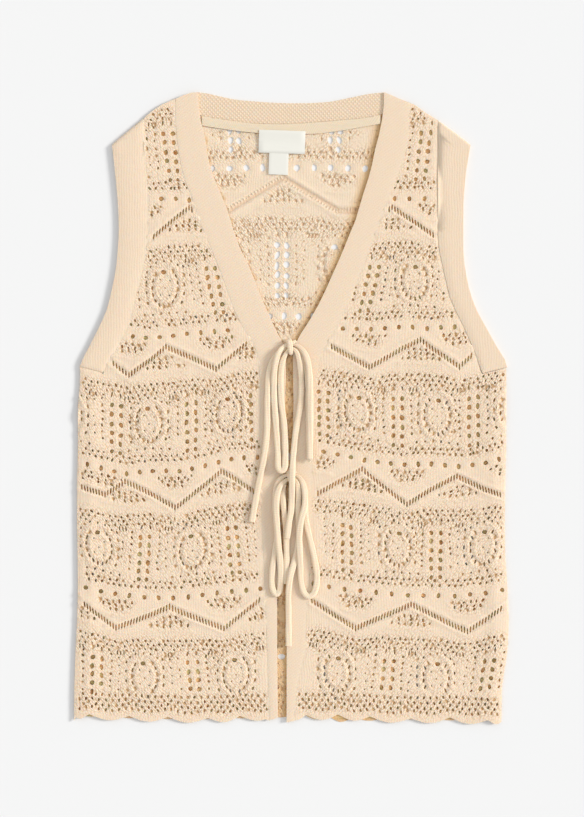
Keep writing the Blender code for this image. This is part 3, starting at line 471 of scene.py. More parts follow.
# Cooler patches in the painted shade under the fronts' holes
OLIVE_PATCHES = (0.09, 4.0, -1.6)  # scale, steepness and threshold of the noise
# Darker spots in the painted shadow beside the fronts' edges
EDGE_SHADOW_SPOTS = (0.34, 9.0, -5.2)
# From this painted-shade depth up the back is painted as lying under the fronts, below it as in their painted
# shadow beside their edges
COVERED_FROM = 0.97  # the depth from which the back lies under the fronts, and not beside their edges

# The stage
KEY_LIGHT = 0.39  # the share of a white floor's light that comes from the key
KEY_ELEVATION = 27.0
KEY_AZIMUTH = 12.0  # turned from the right side towards the neck
KEY_SPREAD = 16.0  # the degrees that the key light fills, as a large soft box does
KEY_TINT = (1.0, 0.985, 0.96)
CAMERA_LENS = 100
CAMERA_FAR = 20
FILL_LIGHT = 0.775
FILL_TINT = (0.98, 0.99, 1.0)
FLOOR_HALF = 4.0
FLOOR_LEVEL = -0.0001
FLOOR_GREY = 0.8


def linear(hex_colour):
    """The linear colour of an sRGB hex value."""
    channels = [int(hex_colour[i : i + 2], 16) / 255 for i in (1, 3, 5)]
    return tuple(c / 12.92 if c <= 0.04045 else ((c + 0.055) / 1.055) ** 2.4 for c in channels)


def darker(colour, share):
    """A colour with that share of its light."""
    return tuple(share * c for c in colour)


def colour_property(name, description, hex_colour):
    return bpy.props.FloatVectorProperty(
        name=name, description=description, subtype="COLOR", size=3, min=0, max=1, default=linear(hex_colour)
    )


def length_property(name, description, metres):
    return bpy.props.FloatProperty(
        name=name, description=description, unit="LENGTH", subtype="DISTANCE", min=0, default=metres
    )


class VestSizes(bpy.types.PropertyGroup):
    lace_wall: length_property("Lace wall", "Thickness of the openwork knit", 0.0013)
    lace_step: length_property("Lace mesh", "Spacing of the lace panels' points", 0.0034)
    camera_height: length_property("Camera height", "Height of the camera over the garment", 2.2725)


class VestColours(bpy.types.PropertyGroup):
    lace: colour_property("Lace", "Cotton of the openwork panels", "#EFDBC4")
    # The grooves' colour is painted shade between the lace's stitches
    lace_groove_shade: colour_property("Lace grooves", "The same cotton down between its stitches", "#D3B491")
    # Painted shade: deep_shade and deep_shade_olive are the back painted in the warm and the cooler shade
    # that lies under the fronts' holes
    deep_shade: colour_property("Deep lace", "The back as it shows through the fronts' holes", "#EDBC84")
    deep_shade_olive: colour_property("Deep lace, cooler", "The same where the light there is cooler", "#CDBF88")
    # Painted shadow: edge_shade is the shadow painted beside the fronts' edges and in the slot, and
    # edge_shadow_spots are its stitch holes painted darker in it
    edge_shade: colour_property("Edge shade", "The back beside the edges of the V and the slot", "#D0A76E")
    edge_shadow_spots: colour_property("Edge spots", "The stitch holes there", "#A87C48")
    # pit is painted shade, multiplied into the stitch holes that aren't open
    pit: colour_property("Stitch pits", "What a stitch hole that isn't open does to its light", "#D3BC98")
    band: colour_property("Bands", "Cotton of the close-knit bands", "#EBD7C0")
    # The grooves' colour is painted shade between the bands' ribs
    band_groove_shade: colour_property("Band grooves", "The same cotton between the bands' ribs", "#E0C8AC")
    tie: colour_property("Ties", "Cotton of the tubular ties", "#F3DEC1")
    tape: colour_property("Neck tape", "Cotton of the tape over the neck seam", "#E8D5BA")
    label: colour_property("Labels", "Satin of the blank label and size tab", "#E7E5DC")


def add(tree, kind, inputs=None, **settings):
    """A new shader node with its settings; each input takes a value, or another node's socket to link."""
    node = tree.nodes.new("ShaderNode" + kind)
    for key, value in settings.items():
        setattr(node, key, value)
    for key, value in (inputs or {}).items():
        if isinstance(value, bpy.types.NodeSocket):
            tree.links.new(value, node.inputs[key])
        else:
            node.inputs[key].default_value = value
    return node


def new_material(name, roughness, sheen, glow=YARN_GLOW):
    """A matte material with a soft fuzz, and a little light that comes through its yarn."""
    material = bpy.data.materials.new(name)
    material.use_nodes = True
    tree = material.node_tree
    shader = tree.nodes["Principled BSDF"]
    shader.inputs["Roughness"].default_value = roughness
    shader.inputs["IOR"].default_value = YARN_IOR
    shader.inputs["Specular IOR Level"].default_value = YARN_SPECULAR
    shader.inputs["Sheen Weight"].default_value = sheen
    shader.inputs["Sheen Roughness"].default_value = FUZZ_ROUGHNESS
    shader.inputs["Subsurface Weight"].default_value = glow
    shader.inputs["Subsurface Radius"].default_value = GLOW_REDNESS
    shader.inputs["Subsurface Scale"].default_value = GLOW_REACH
    return material, tree, shader


def place_in_mm(tree, source="Object", drift=9.0):
    """Where a point is, in millimetres, across and along, a little unevenly, as hand-tensioned knit lies."""
    coords = add(tree, "TexCoord")
    scaled = add(tree, "VectorMath", {0: coords.outputs[source], 1: (PER_METRE,) * 3}, operation="MULTIPLY")
    noise = add(tree, "TexNoise", {"Vector": scaled.outputs[0], "Scale": DRIFT_SCALE, "Detail": 1.0})
    drifted = add(
        tree, "VectorMath", {0: noise.outputs["Color"], 1: (drift, drift, 0), 2: scaled.outputs[0]},
        operation="MULTIPLY_ADD",
    )
    return drifted.outputs[0]


def knit_loops(tree, place, wale, course):
    """The height of plain knit, 0 to 1: columns of V-shaped loops, wale and course millimetres apart."""
    parts = add(tree, "SeparateXYZ", {0: place})
    column = add(tree, "Math", {0: parts.outputs["X"], 1: wale}, operation="DIVIDE")
    across = add(tree, "Math", {0: column.outputs[0], 1: 0.5}, operation="PINGPONG")
    row = add(tree, "Math", {0: parts.outputs["Y"], 1: math.tau / course}, operation="MULTIPLY")
    phase = add(
        tree, "Math", {0: across.outputs[0], 1: LOOP_SLANT, 2: row.outputs[0]}, operation="MULTIPLY_ADD"
    )
    loops = add(tree, "Math", {0: phase.outputs[0]}, operation="SINE")
    return add(tree, "Math", {0: loops.outputs[0], 1: 0.5, 2: 0.5}, operation="MULTIPLY_ADD").outputs[0]


def ribs(tree, place, pitch, degrees):
    """The height of ribs, 0 to 1, that run at an angle from across, pitch millimetres apart."""
    angle = math.radians(degrees)
    normal = (-math.sin(angle) * math.tau / pitch, math.cos(angle) * math.tau / pitch, 0)
    phase = add(tree, "VectorMath", {0: place, 1: normal}, operation="DOT_PRODUCT")
    wave = add(tree, "Math", {0: phase.outputs["Value"]}, operation="SINE")
    return add(tree, "Math", {0: wave.outputs[0], 1: 0.5, 2: 0.5}, operation="MULTIPLY_ADD").outputs[0]


def finish_knit(tree, shader, height, colour, groove_shade, relief):
    """Colours a knit from its height, with painted shade down in its grooves, and gives it that relief, in
    metres.
    """
    tone = add(tree, "Mix", {"Factor": height, "A": (*groove_shade, 1), "B": (*colour, 1)}, data_type="RGBA")
    tree.links.new(tone.outputs["Result"], shader.inputs["Base Color"])
    bump = add(tree, "Bump", {"Height": height, "Strength": BUMP_STRENGTH, "Distance": relief})
    tree.links.new(bump.outputs["Normal"], shader.inputs["Normal"])
    return tone


def seed_grains(tree, place, length, width):
    """The height of seed stitch, 0 to 1: small grains that lean out from the garment's middle."""
    parts = add(tree, "SeparateXYZ", {0: place})
    side = add(tree, "Math", {0: parts.outputs["X"]}, operation="ABSOLUTE")
    mirrored = add(tree, "CombineXYZ", {"X": side.outputs[0], "Y": parts.outputs["Y"]})
    lean = math.radians(SEED_LEAN)
    sine, cosine = math.sin(lean), math.cos(lean)
    steps = ((sine / length, cosine / length, 0), (cosine / width, -sine / width, 0))
    run, across = (
        add(tree, "VectorMath", {0: mirrored.outputs[0], 1: step}, operation="DOT_PRODUCT") for step in steps
    )
    grid = add(tree, "CombineXYZ", {"X": run.outputs["Value"], "Y": across.outputs["Value"]})
    cells = add(
        tree, "TexVoronoi", {"Vector": grid.outputs[0], "Scale": 1.0, "Randomness": SEED_UNEVENNESS},
        voronoi_dimensions="2D",
    )
    slope, top = SEED_PROFILE
    grains = add(
        tree, "Math", {0: cells.outputs["Distance"], 1: slope, 2: top},
        operation="MULTIPLY_ADD", use_clamp=True,
    )
    return grains.outputs[0]


def patches(tree, place, scale, slope, offset):
    """Uneven patches, 0 to 1: the noise at that scale, made steeper and cut off at both ends."""
    noise = add(tree, "TexNoise", {"Vector": place, "Scale": scale, "Detail": 1.0})
    steep = add(
        tree, "Math", {0: noise.outputs["Fac"], 1: slope, 2: offset}, operation="MULTIPLY_ADD", use_clamp=True
    )
    return steep.outputs[0]


def openwork_knit(colours):
    """Matte combed cotton openwork: plain knit with faint upright wales, and seed stitch among the holes.

    The wales and the seeds are drawn coarser than such a yarn's, so that they show.
    """
    material, tree, shader = new_material("combed_cotton_openwork_knit", roughness=0.9, sheen=0.25)
    place = place_in_mm(tree, drift=5.0)
    wales = ribs(tree, place, *WALES)
    fibre = add(tree, "TexNoise", {"Vector": place, "Scale": FIBRE_SCALE, "Detail": 2.0})
    yarn = add(tree, "Mix", {"Factor": WALE_SHARE, "A": fibre.outputs["Fac"], "B": wales}, data_type="FLOAT")
    span, foot = PLAIN_HEIGHT
    plain = add(tree, "Math", {0: yarn.outputs["Result"], 1: span, 2: foot}, operation="MULTIPLY_ADD")
    grains = seed_grains(tree, place, *SEED_GRAIN)
    openness = add(tree, "Attribute", attribute_name="openness")
    height = add(
        tree, "Mix", {"Factor": openness.outputs["Fac"], "A": plain.outputs[0], "B": grains},
        data_type="FLOAT",
    )
    result = height.outputs["Result"]
    tone = finish_knit(tree, shader, result, colours.lace, colours.lace_groove_shade, relief=0.0008)

    # Painted shade: under the fronts' holes the back is painted a golden-brown shade with olive patches, and
    # beside their edges a golden painted shadow with darker spots at its stitch holes
    painted_shade = add(tree, "Attribute", attribute_name="painted_shade")
    olive = patches(tree, place, *OLIVE_PATCHES)
    under = add(
        tree, "Mix", {"Factor": olive, "A": (*colours.deep_shade, 1), "B": (*colours.deep_shade_olive, 1)},
        data_type="RGBA",
    )
    covered = add(tree, "Math", {0: painted_shade.outputs["Fac"], 1: COVERED_FROM}, operation="GREATER_THAN")
    spots = patches(tree, place, *EDGE_SHADOW_SPOTS)
    strip = add(
        tree, "Mix", {"Factor": spots, "A": (*colours.edge_shade, 1), "B": (*colours.edge_shadow_spots, 1)},
        data_type="RGBA",
    )
    shaded = add(
        tree, "Mix",
        {"Factor": covered.outputs[0], "A": strip.outputs["Result"], "B": under.outputs["Result"]},
        data_type="RGBA",
    )
    deep_shade = add(
        tree, "Mix",
        {"Factor": painted_shade.outputs["Fac"], "A": tone.outputs["Result"], "B": shaded.outputs["Result"]},
        data_type="RGBA",
    )
    # Painted shade in the stitch holes that aren't open
    pit = add(tree, "Attribute", attribute_name="pit")
    pitted = add(
        tree, "Mix",
        {"Factor": pit.outputs["Fac"], "A": deep_shade.outputs["Result"], "B": (*colours.pit, 1)},
        data_type="RGBA", blend_type="MULTIPLY",
    )
    tree.links.new(pitted.outputs["Result"], shader.inputs["Base Color"])
    return material


def close_knit(name, colours, pitch, degrees):
    """The same cotton in a close rib: fine even lines, drawn no finer than 2 mm so that they show."""
    material, tree, shader = new_material(name, roughness=0.88, sheen=0.25)
    place = place_in_mm(tree, drift=4.0)
    lines = ribs(tree, place, pitch, degrees)
    grain = add(tree, "TexNoise", {"Vector": place, "Scale": GRAIN_SCALE, "Detail": 2.0})
    height = add(
        tree, "Mix", {"Factor": GRAIN_SHARE, "A": lines, "B": grain.outputs["Fac"]}, data_type="FLOAT"
    )
    finish_knit(tree, shader, height.outputs["Result"], colours.band, colours.band_groove_shade, relief=0.00035)
    return material


def seed_knit(colours):
    """The same cotton in seed stitch: small bright grains in slanting rows, as the neck band's inner face."""
    material, tree, shader = new_material("seed_stitch_cotton_knit", roughness=0.88, sheen=0.25)
    place = place_in_mm(tree, drift=3.0)
    pitch, degrees = SEED_SLANTS
    slants = [ribs(tree, place, pitch, way * degrees) for way in (1, -1)]
    lattice = add(tree, "Math", {0: slants[0], 1: slants[1]}, operation="MULTIPLY")
    finish_knit(tree, shader, lattice.outputs[0], colours.band, colours.band_groove_shade, relief=0.0005)
    return material


def tubular_knit(colours):
    """A fine tubular knit pressed flat: smooth and a little lighter, with faint lengthwise lines."""
    material, tree, shader = new_material("fine_cotton_tubular_knit", roughness=0.8, sheen=0.3)
    place = place_in_mm(tree, "UV")
    loops = knit_loops(tree, place, wale=1.3, course=1.5)
    # A darker copy of the colour is painted shade between the loops
    finish_knit(tree, shader, loops, colours.tie, darker(colours.tie, 0.86), relief=0.00015)
    return material


def cotton_tape(colours):
    """Smooth herringbone cotton tape: nearly plain, with a faint slant."""
    material, tree, shader = new_material("woven_cotton_tape", roughness=0.8, sheen=0.15)
    lines = ribs(tree, place_in_mm(tree), *TAPE_SLANT)
    # A darker copy of the colour is painted shade between the slanting threads
    finish_knit(tree, shader, lines, colours.tape, darker(colours.tape, 0.9), relief=0.0001)
    return material


def label_satin(colours):
    """Polyester damask label: cool white, smooth, with a slight gloss and very fine threads."""
    material, tree, shader = new_material("woven_label_satin", roughness=0.5, sheen=0.0, glow=0.0)
    lines = ribs(tree, place_in_mm(tree), *LABEL_THREADS)
    # A darker copy of the colour is painted shade between the threads
    finish_knit(tree, shader, lines, colours.label, darker(colours.label, 0.93), relief=0.00005)
    return material


MATERIALS = {
    "openwork_cotton_knit": openwork_knit,
    "close_cotton_knit": lambda colours: close_knit("close_rib_cotton_knit", colours, *BAND_RIBS),
    "seed_stitch": seed_knit,
    "armhole_rib": lambda colours: close_knit("upright_rib_cotton_knit", colours, *ARMHOLE_RIBS),
    "tubular_cotton_cord": tubular_knit,
    "cotton_neck_tape": cotton_tape,
    "woven_label": label_satin,
}


def material_of(kind):
    """One of the vest's materials, made the first time that it is asked for."""
    made = bpy.context.scene.vest_materials
    if kind not in made:
        item = made.add()
        item.name = kind
        item.material = MATERIALS[kind](bpy.context.scene.vest_colours)
    return made[kind].material


class VestMaterial(bpy.types.PropertyGroup):
    material: bpy.props.PointerProperty(
        name="Material", description="One of the vest's materials", type=bpy.types.Material
    )


def add_piece(name, data, kind, nodes):
    """Puts a piece in the scene in place of its CAD nodes."""
    piece = bpy.data.objects.new(name, data)
    bpy.context.scene.collection.objects.link(piece)
    data.materials.append(material_of(kind))
    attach(piece, "root")
    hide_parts(*nodes)
    return piece


def settle(piece):
    """Applies a piece's modifiers, and shades it smooth but for its sharp edges."""
    evaluated = piece.evaluated_get(bpy.context.evaluated_depsgraph_get())
    data = bpy.data.meshes.new_from_object(evaluated)
    piece.modifiers.clear()
    piece.data = data
    data.shade_smooth()
    data.set_sharp_from_angle(angle=math.radians(SHARP_SHEET))


def at(across, down):
    """A chart place in the frame's millimetres."""
    return across - CHART_CENTRE[0], CHART_CENTRE[1] - down


def tree_of(node):
    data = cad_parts[node].data
    return BVHTree.FromPolygons([v.co for v in data.vertices], [p.vertices for p in data.polygons])


def top_level(tree, across, along):
    """The height of a CAD piece's upper side under a point, in millimetres, or that of its nearest edge."""
    point = Vector((across * MM, along * MM, SKY))
    hit = tree.ray_cast(point, Vector((0, 0, -1)))[0]
    if hit is None:
        edge = tree.find_nearest(Vector((point.x, point.y, RIM_LEVEL)))[0]
        inwards = Vector((edge.x - point.x, edge.y - point.y, 0))
        step = inwards.normalized() * RIM_INSET
        hit = tree.ray_cast(Vector((edge.x, edge.y, SKY)) + step, Vector((0, 0, -1)))[0] or edge
    return hit.z / MM


def outline_of(node):
    """The outline of a CAD piece's upper side, as points in millimetres, in order."""
    mesh = bmesh.new()
    mesh.from_mesh(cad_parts[node].data)
    bmesh.ops.remove_doubles(mesh, verts=mesh.verts, dist=WELD)
    mesh.normal_update()
    edges = {}
    for edge in mesh.edges:
        rising = [face.normal.z > CAD_UPWARDS for face in edge.link_faces]
        if any(rising) and not all(rising):
            for vert in edge.verts:
                edges.setdefault(vert, []).append(edge)
    points = [min(edges, key=lambda vert: vert.co.x)]
    walked = set()
    while True:
        ahead = [edge for edge in edges[points[-1]] if edge not in walked]
        if not ahead:
            break
        walked.add(ahead[0])
        points.append(ahead[0].other_vert(points[-1]))
    points.pop()
    outline = [(v.co.x / MM, v.co.y / MM) for v in points]
    mesh.free()
    return outline


def scallops(hem, first, last):
    """Points of a scalloped hem between two places across, in the frame's millimetres."""
    points = []
    for (a, a_down), (b, b_down) in zip(hem, hem[1:]):
        for i in range(SCALLOP_STEPS):
            t = i / SCALLOP_STEPS
            hang = SCALLOP * math.sin(math.pi * t) ** SCALLOP_POWER
            points.append(at(a + (b - a) * t, a_down + (b_down - a_down) * t + hang))
    low, high = sorted((first, last))
    inside = [p for p in points if low + SCALLOP_INSET < p[0] < high - SCALLOP_INSET]
    return inside if last > first else inside[::-1]


def with_hem(outline, hem):
    """A panel's outline with its coarse hem replaced by the scalloped one."""
    count = len(outline)
    start = next(
        i for i in range(count) if outline[i - 1][1] > HEM_ZONE and outline[i][1] < HEM_ZONE
    )
    turned = outline[start:] + outline[:start]
    foot = [p for p in turned if p[1] < HEM_ZONE]
    rest = [p for p in turned if p[1] > HEM_ZONE]
    first, last = foot[0], foot[-1]
    return [first] + scallops(hem, first[0], last[0]) + [last] + rest


def inside_outline(points, outline):
    """Which points lie inside an outline."""
    x, y = points.T
    inside = np.zeros(len(points), bool)
    a = np.array(outline)
    b = np.roll(a, -1, axis=0)
    for (ax, ay), (bx, by) in zip(a, b):
        if ay == by:
            continue
        crosses = (ay > y) != (by > y)
        inside ^= crosses & (x < (bx - ax) * (y - ay) / (by - ay) + ax)
    return inside


def distance_to_lines(points, lines):
    """How far each point lies from the nearest of some lines, each a run of points."""
    nearest = np.full(len(points), 1e9)
    for line in lines:
        line = np.array(line, float)
        for a, b in zip(line, line[1:]):
            span = b - a
            t = np.clip(((points - a) @ span) / max(span @ span, 1e-9), 0, 1)
            gap = points - a - t[:, None] * span
            nearest = np.minimum(nearest, np.hypot(*gap.T))
    return nearest


def row_line(row):
    across, down = np.array(row.line, float).T
    return lambda x: float(np.interp(x, across, down))


def ring_point(turn, share):
    """A point of an oval of share of a ring's size: across from its middle, and its height in the band."""
    across = RING_REACH[0] * share * math.cos(turn)
    return across, RING_MIDDLE + RING_REACH[1] * share * math.sin(turn)


def ladder_middle(head, bottom, c):
    """Where a ladder's middle is across, at a height in its band."""
    return head + (bottom - head) * (c - LADDER_TOP) / (LADDER_FOOT - LADDER_TOP)


def chart_holes(chart, rng):
    """Every hole of a chart, the biggest kinds first, its raised strands, and its rings' middles."""
    eyelets, ladders, slits, dots, lines, domes = [], [], [], [], [], []
    for index, band in enumerate(chart.bands):
        top = row_line(chart.rows[index])
        foot = row_line(chart.rows[index + 1])

        def down(x, c):
            return top(x) + (foot(x) - top(x)) * c / BAND_DEPTH

        def put(kind, x, c, length, width, lean, sides, seeded=True):
            kind.append(Hole(*at(x, down(x, c)), length, width, lean, sides, seeded))

        def put_dot(x, c, length, width):
            lean = rng.uniform(-DOT_TURN, DOT_TURN) - DOT_LEAN * chart.mirror
            size = rng.uniform(*DOT_SIZES)
            slim = rng.uniform(*DOT_SLIMNESS)
            place = (x + rng.uniform(-DOT_STRAY, DOT_STRAY), c + rng.uniform(-DOT_STRAY, DOT_STRAY))
            if rng.random() > DOT_GAPS:
                put(dots, *place, length * size / slim, width * size * slim, lean, SMALL_SIDES)

        def arch(middle, height, reach, bend, way):
            run = np.arange(middle - reach, middle + reach + 1, ARCH_STEP)
            return [at(x, down(x, height + way * ((x - middle) / bend) ** 2)) for x in run]

        valleys = [x for x, c in band.turns if c > VALLEY_FROM]
        peaks = [x for x, c in band.turns if c < PEAK_TO]
        left = min(row.line[0][0] for row in chart.rows)
        right = max(row.line[-1][0] for row in chart.rows)
        for head, bottom in band.ladders:
            for s, c, length, width, lean in LADDER:
                middle = ladder_middle(head, bottom, c)
                size = rng.uniform(*LADDER_SIZES)
                width *= rng.uniform(*LADDER_WIDTHS)
                s = middle + s + rng.uniform(-LADDER_STRAY[0], LADDER_STRAY[0])
                c += rng.uniform(-LADDER_STRAY[1], LADDER_STRAY[1])
                lean += rng.uniform(-LADDER_TURN, LADDER_TURN)
                put(ladders, s, c, length * size, width / size, lean, BIG_SIDES)
            for s, first, last, step, length, width in SIDE_COLUMNS:
                c = first
                while c < last:
                    put_dot(ladder_middle(head, bottom, c) + s, c, length, width)
                    c += step
        for ring in band.rings:
            domes.append(at(ring, down(ring, RING_MIDDLE)))
            oval = [math.tau * (k + 0.5) / RING_SLITS for k in range(RING_SLITS)]
            for turn in oval:
                s, c = ring_point(turn, 1.0)
                if c > RING_MIDDLE - RING_GAP[1] or abs(s) > RING_GAP[0]:
                    lean = RING_LEAN * math.sin(2 * turn)
                    put(slits, ring + s * chart.mirror, c, *RING_SLIT, lean, SMALL_SIDES)
            for share in RING_EDGES:
                edge = [ring_point(math.tau * k / RING_STEPS, share) for k in range(RING_STEPS + 1)]
                lines.append([at(ring + s, down(ring + s, c)) for s, c in edge])
            for s, c, length, width, lean in RING:
                kind, sides = (ladders, BIG_SIDES) if width > RING_BIG else (slits, SMALL_SIDES)
                put(kind, ring + s * chart.mirror, c, length, width, lean * chart.mirror, sides)
        for (a, a_c), (b, b_c) in zip(band.turns, band.turns[1:]):
            run = math.hypot(b - a, b_c - a_c)
            count = round((b - a) / SLIT_PITCH)
            for i in range(count):
                t = i / count
                c = a_c + (b_c - a_c) * t
                lean = math.copysign(SLIT_LEAN, a_c - b_c) * min(1, min(t, 1 - t) * (b - a) / SLIT_UPRIGHT)
                put(slits, a + (b - a) * t, c, *SLIT, lean, SMALL_SIDES, False)
            for offset in (-ZIGZAG_EDGE, ZIGZAG_EDGE):
                shares = np.linspace(0, 1, int(run / STRAND_STEP))
                strand = [(a + (b - a) * t, a_c + (b_c - a_c) * t + offset) for t in shares]
                lines.append([at(x, down(x, c)) for x, c in strand])
        for peak in peaks:
            for c, count, pitch in PEAK_DOTS:
                for i in range(count):
                    put_dot(peak + (i - (count - 1) / 2) * pitch, c, *DOT)
            lines.append(arch(peak, *PEAK_ARCH))
        for valley in valleys:
            for c, count, pitch in VALLEY_DOTS:
                for i in range(count):
                    put_dot(valley + (i - (count - 1) / 2) * pitch, c, *DOT)
            lines.append(arch(valley, *VALLEY_ARCH))
        for c, pitch, offset, length, width in DOT_ROWS:
            x = left + offset * pitch
            while x < right:
                dip = sum(DIP * math.exp(-(((x - valley) / DIP_REACH) ** 2)) for valley in valleys)
                height = c + (dip if c < DIP_ABOVE else 0)
                put_dot(x, height, length, width)
                x += pitch
        if index:
            row = chart.rows[index]
            x = row.first - 2 * row.pitch
            while x < right:
                size = rng.uniform(*EYELET_SIZES)
                stray, sink = (rng.uniform(-EYELET_STRAY, EYELET_STRAY) for _ in range(2))
                lean = rng.uniform(-EYELET_TURN, EYELET_TURN)
                place = at(x + stray, top(x) + sink)
                eyelets.append(Hole(*place, EYELET[0] * size, EYELET[1] / size, lean, EYELET_SIDES, False))
                x += row.pitch
    return eyelets + ladders + slits + dots, lines, domes


def hem_holes(hem, rng):
    """The rows of dots over a scalloped hem, which follow its scallops less and less upwards."""
    holes = []
    for (a, a_down), (b, b_down) in zip(hem, hem[1:]):
        for height, pitch, offset in HEM_ROWS:
            count = int(round((b - a) / pitch))
            for i in range(count):
                t = (i + offset) / count
                hang = SCALLOP * math.sin(math.pi * t) ** SCALLOP_POWER * (1 - height / HEM_FADE)
                down = a_down + (b_down - a_down) * t + hang - height
                across = a + (b - a) * t + rng.uniform(-HEM_STRAY[0], HEM_STRAY[0])
                place = at(across, down + rng.uniform(-HEM_STRAY[1], HEM_STRAY[1]))
                holes.append(Hole(*place, *DOT, rng.uniform(-HEM_TURN, HEM_TURN), SMALL_SIDES))
    return holes


def hole_ring(hole, rng):
    """The points round a hole, a little uneven."""
    lean = math.radians(hole.angle)
    points = []
    for k in range(hole.sides):
        turn = math.tau * (k + 0.5) / hole.sides
        wobble = 1 + rng.uniform(-HOLE_WOBBLE, HOLE_WOBBLE)
        u = math.cos(turn) * hole.width / 2 * wobble
        v = math.sin(turn) * hole.length / 2 * wobble
        x = u * math.cos(lean) + v * math.sin(lean)
        y = v * math.cos(lean) - u * math.sin(lean)
        points.append((hole.across + x, hole.along + y))
    return points


def fitting_holes(holes, outline, margin):
    """The holes that lie inside a panel and clear of those before them."""
    centres = np.array([(h.across, h.along) for h in holes])
    reach = np.array([max(h.length, h.width) / 2 for h in holes])
    half_widths = np.array([min(h.length, h.width) / 2 for h in holes])
    edge = distance_to_lines(centres, [list(outline) + [outline[0]]])
    seeded = np.array([h.seeded for h in holes])
    wanted = inside_outline(centres, outline) & (edge > reach + margin)
    kept = []
    for i in np.flatnonzero(wanted):
        if kept:
            gap = np.hypot(*(centres[kept] - centres[i]).T)
            beside = half_widths[kept] + half_widths[i] + HOLE_MARGIN
            around = np.maximum(beside, HOLE_SPREAD * (reach[kept] + half_widths[i]))
            thin = np.where(seeded[kept] | seeded[i], around, beside)
            if (gap < thin).any():
                continue
        kept.append(i)
    return [holes[i] for i in kept]


def fill_points(outline, step, rng):
    """Points spread evenly over a panel, a little unevenly."""
    low = np.min(outline, axis=0)
    high = np.max(outline, axis=0)

    def stray():
        return rng.uniform(-POINT_STRAY, POINT_STRAY)

    rows = []
    for j, y in enumerate(np.arange(low[1], high[1], step * ROW_PITCH)):
        shift = step / 2 * (j % 2)
        rows += [(x + shift + stray(), y + stray()) for x in np.arange(low[0], high[0], step)]
    points = np.array(rows)
    edge = distance_to_lines(points, [list(outline) + [outline[0]]])
    return points[inside_outline(points, outline) & (edge > step / 2)]


def tree_of_points(points):
    tree = KDTree(len(points))
    for i, (x, y) in enumerate(points):
        tree.insert((x, y, 0), i)
    tree.balance()
    return tree


def along_line(line, step):
    """Points every step along a run of points."""
    points = []
    for (ax, ay), (bx, by) in zip(line, line[1:]):
        count = max(1, int(math.hypot(bx - ax, by - ay) / step))
        points += [(ax + (bx - ax) * k / count, ay + (by - ay) * k / count) for k in range(count)]
    return points + [tuple(line[-1])]


def lace_mesh(name, outline, edge_drops, holes, pits, ridges, domes, level, step, rng):
    """The upper side of a lace panel: a sheet of triangles with its holes cut out and its pits sunk."""
    points = [tuple(p) for p in outline]
    border = [(i, (i + 1) % len(points)) for i in range(len(points))]
    loops = []
    lips = len(points)
    for hole in holes:
        ring = hole_ring(hole, rng)
        loops.append(list(range(len(points), len(points) + len(ring))))
        points += ring
    pit_rims = len(points)
    pits = [pit._replace(sides=PIT_SIDES) for pit in pits]
    for pit in pits:
        rim = pit._replace(length=pit.length * PIT_RIM[0], width=pit.width * PIT_RIM[1])
        points += hole_ring(rim, rng)
    pit_feet = len(points)
    for pit in pits:
        foot = pit._replace(length=pit.length * PIT_FOOT, width=pit.width * PIT_FOOT)
        points += hole_ring(foot, rng)
    filled = len(points)
    reach = [max(h.length, h.width) / 2 for h in holes + pits]
    extra = fill_points(outline, step, rng)
    for ridge in ridges:
        line = np.array(ridge)
        sides = [line + (0, offset) for offset in (-RIDGE_WIDTH, 0, RIDGE_WIDTH)]
        extra = np.vstack([extra] + sides)
    extra = extra[inside_outline(extra, outline)]
    holes_near = tree_of_points([(hole.across, hole.along) for hole in holes + pits])
    for x, y in extra:
        _, i, gap = holes_near.find((x, y, 0))
        if gap > reach[i] + POINT_MARGIN:
            points.append((float(x), float(y)))
    corners = [Vector(p) for p in points]
    flat, _, faces, came_from, _, in_holes = delaunay_2d_cdt(corners, border, loops, 0, 1e-5, True)
    places = np.array([(v.x, v.y) for v in flat])
    middles = places[np.array(faces)].mean(axis=1)
    inside = inside_outline(middles, outline)
    kept = [face for face, within, hole in zip(faces, inside, in_holes) if within and not hole]
    drop = np.zeros(len(flat))
    tone = np.zeros(len(flat))
    for i, sources in enumerate(came_from):
        if any(s < lips for s in sources):
            drop[i] = edge_drops[min(sources)]
        elif any(s < pit_rims for s in sources):
            drop[i] = LIP
        elif any(pit_feet <= s < filled for s in sources):
            foot = next(s for s in sources if pit_feet <= s < filled)
            drop[i] = PIT_DEPTH
            # A pit's foot gets its painted shade, a slit's less of it
            tone[i] = 1 if pits[(foot - pit_feet) // PIT_SIDES].seeded else SLIT_PIT_SHADE
    ridge_tree = tree_of_points([p for ridge in ridges for p in along_line(ridge, RIDGE_WIDTH / 2)])
    ridge_gaps = np.array([ridge_tree.find((x, y, 0))[2] for x, y in places])
    relief = RIDGE_HEIGHT * np.exp(-((ridge_gaps / RIDGE_WIDTH) ** 2))
    for across, along in domes:
        reaches = np.hypot(places[:, 0] - across, places[:, 1] - along) / DOME_REACH
        relief += DOME_HEIGHT * np.exp(-(reaches**4))
    levels = np.array([level(x, y) for x, y in places]) + relief - drop
    used = sorted({i for face in kept for i in face})
    index = {old: new for new, old in enumerate(used)}
    data = bpy.data.meshes.new(name)
    data.from_pydata(
        [(places[i][0] * MM, places[i][1] * MM, levels[i] * MM) for i in used], [],
        [[index[i] for i in face] for face in kept],
    )
    seeded = tree_of_points([(hole.across, hole.along) for hole in holes + pits if hole.seeded])
    near = np.array([len(seeded.find_range((*places[i], 0), OPEN_REACH)) for i in used])
    for key, values in (("openness", np.clip(near / OPEN_COUNT, 0, 1)), ("pit", tone[used])):
        data.attributes.new(key, "FLOAT", "POINT").data.foreach_set("value", values.astype(np.float32))
    return data


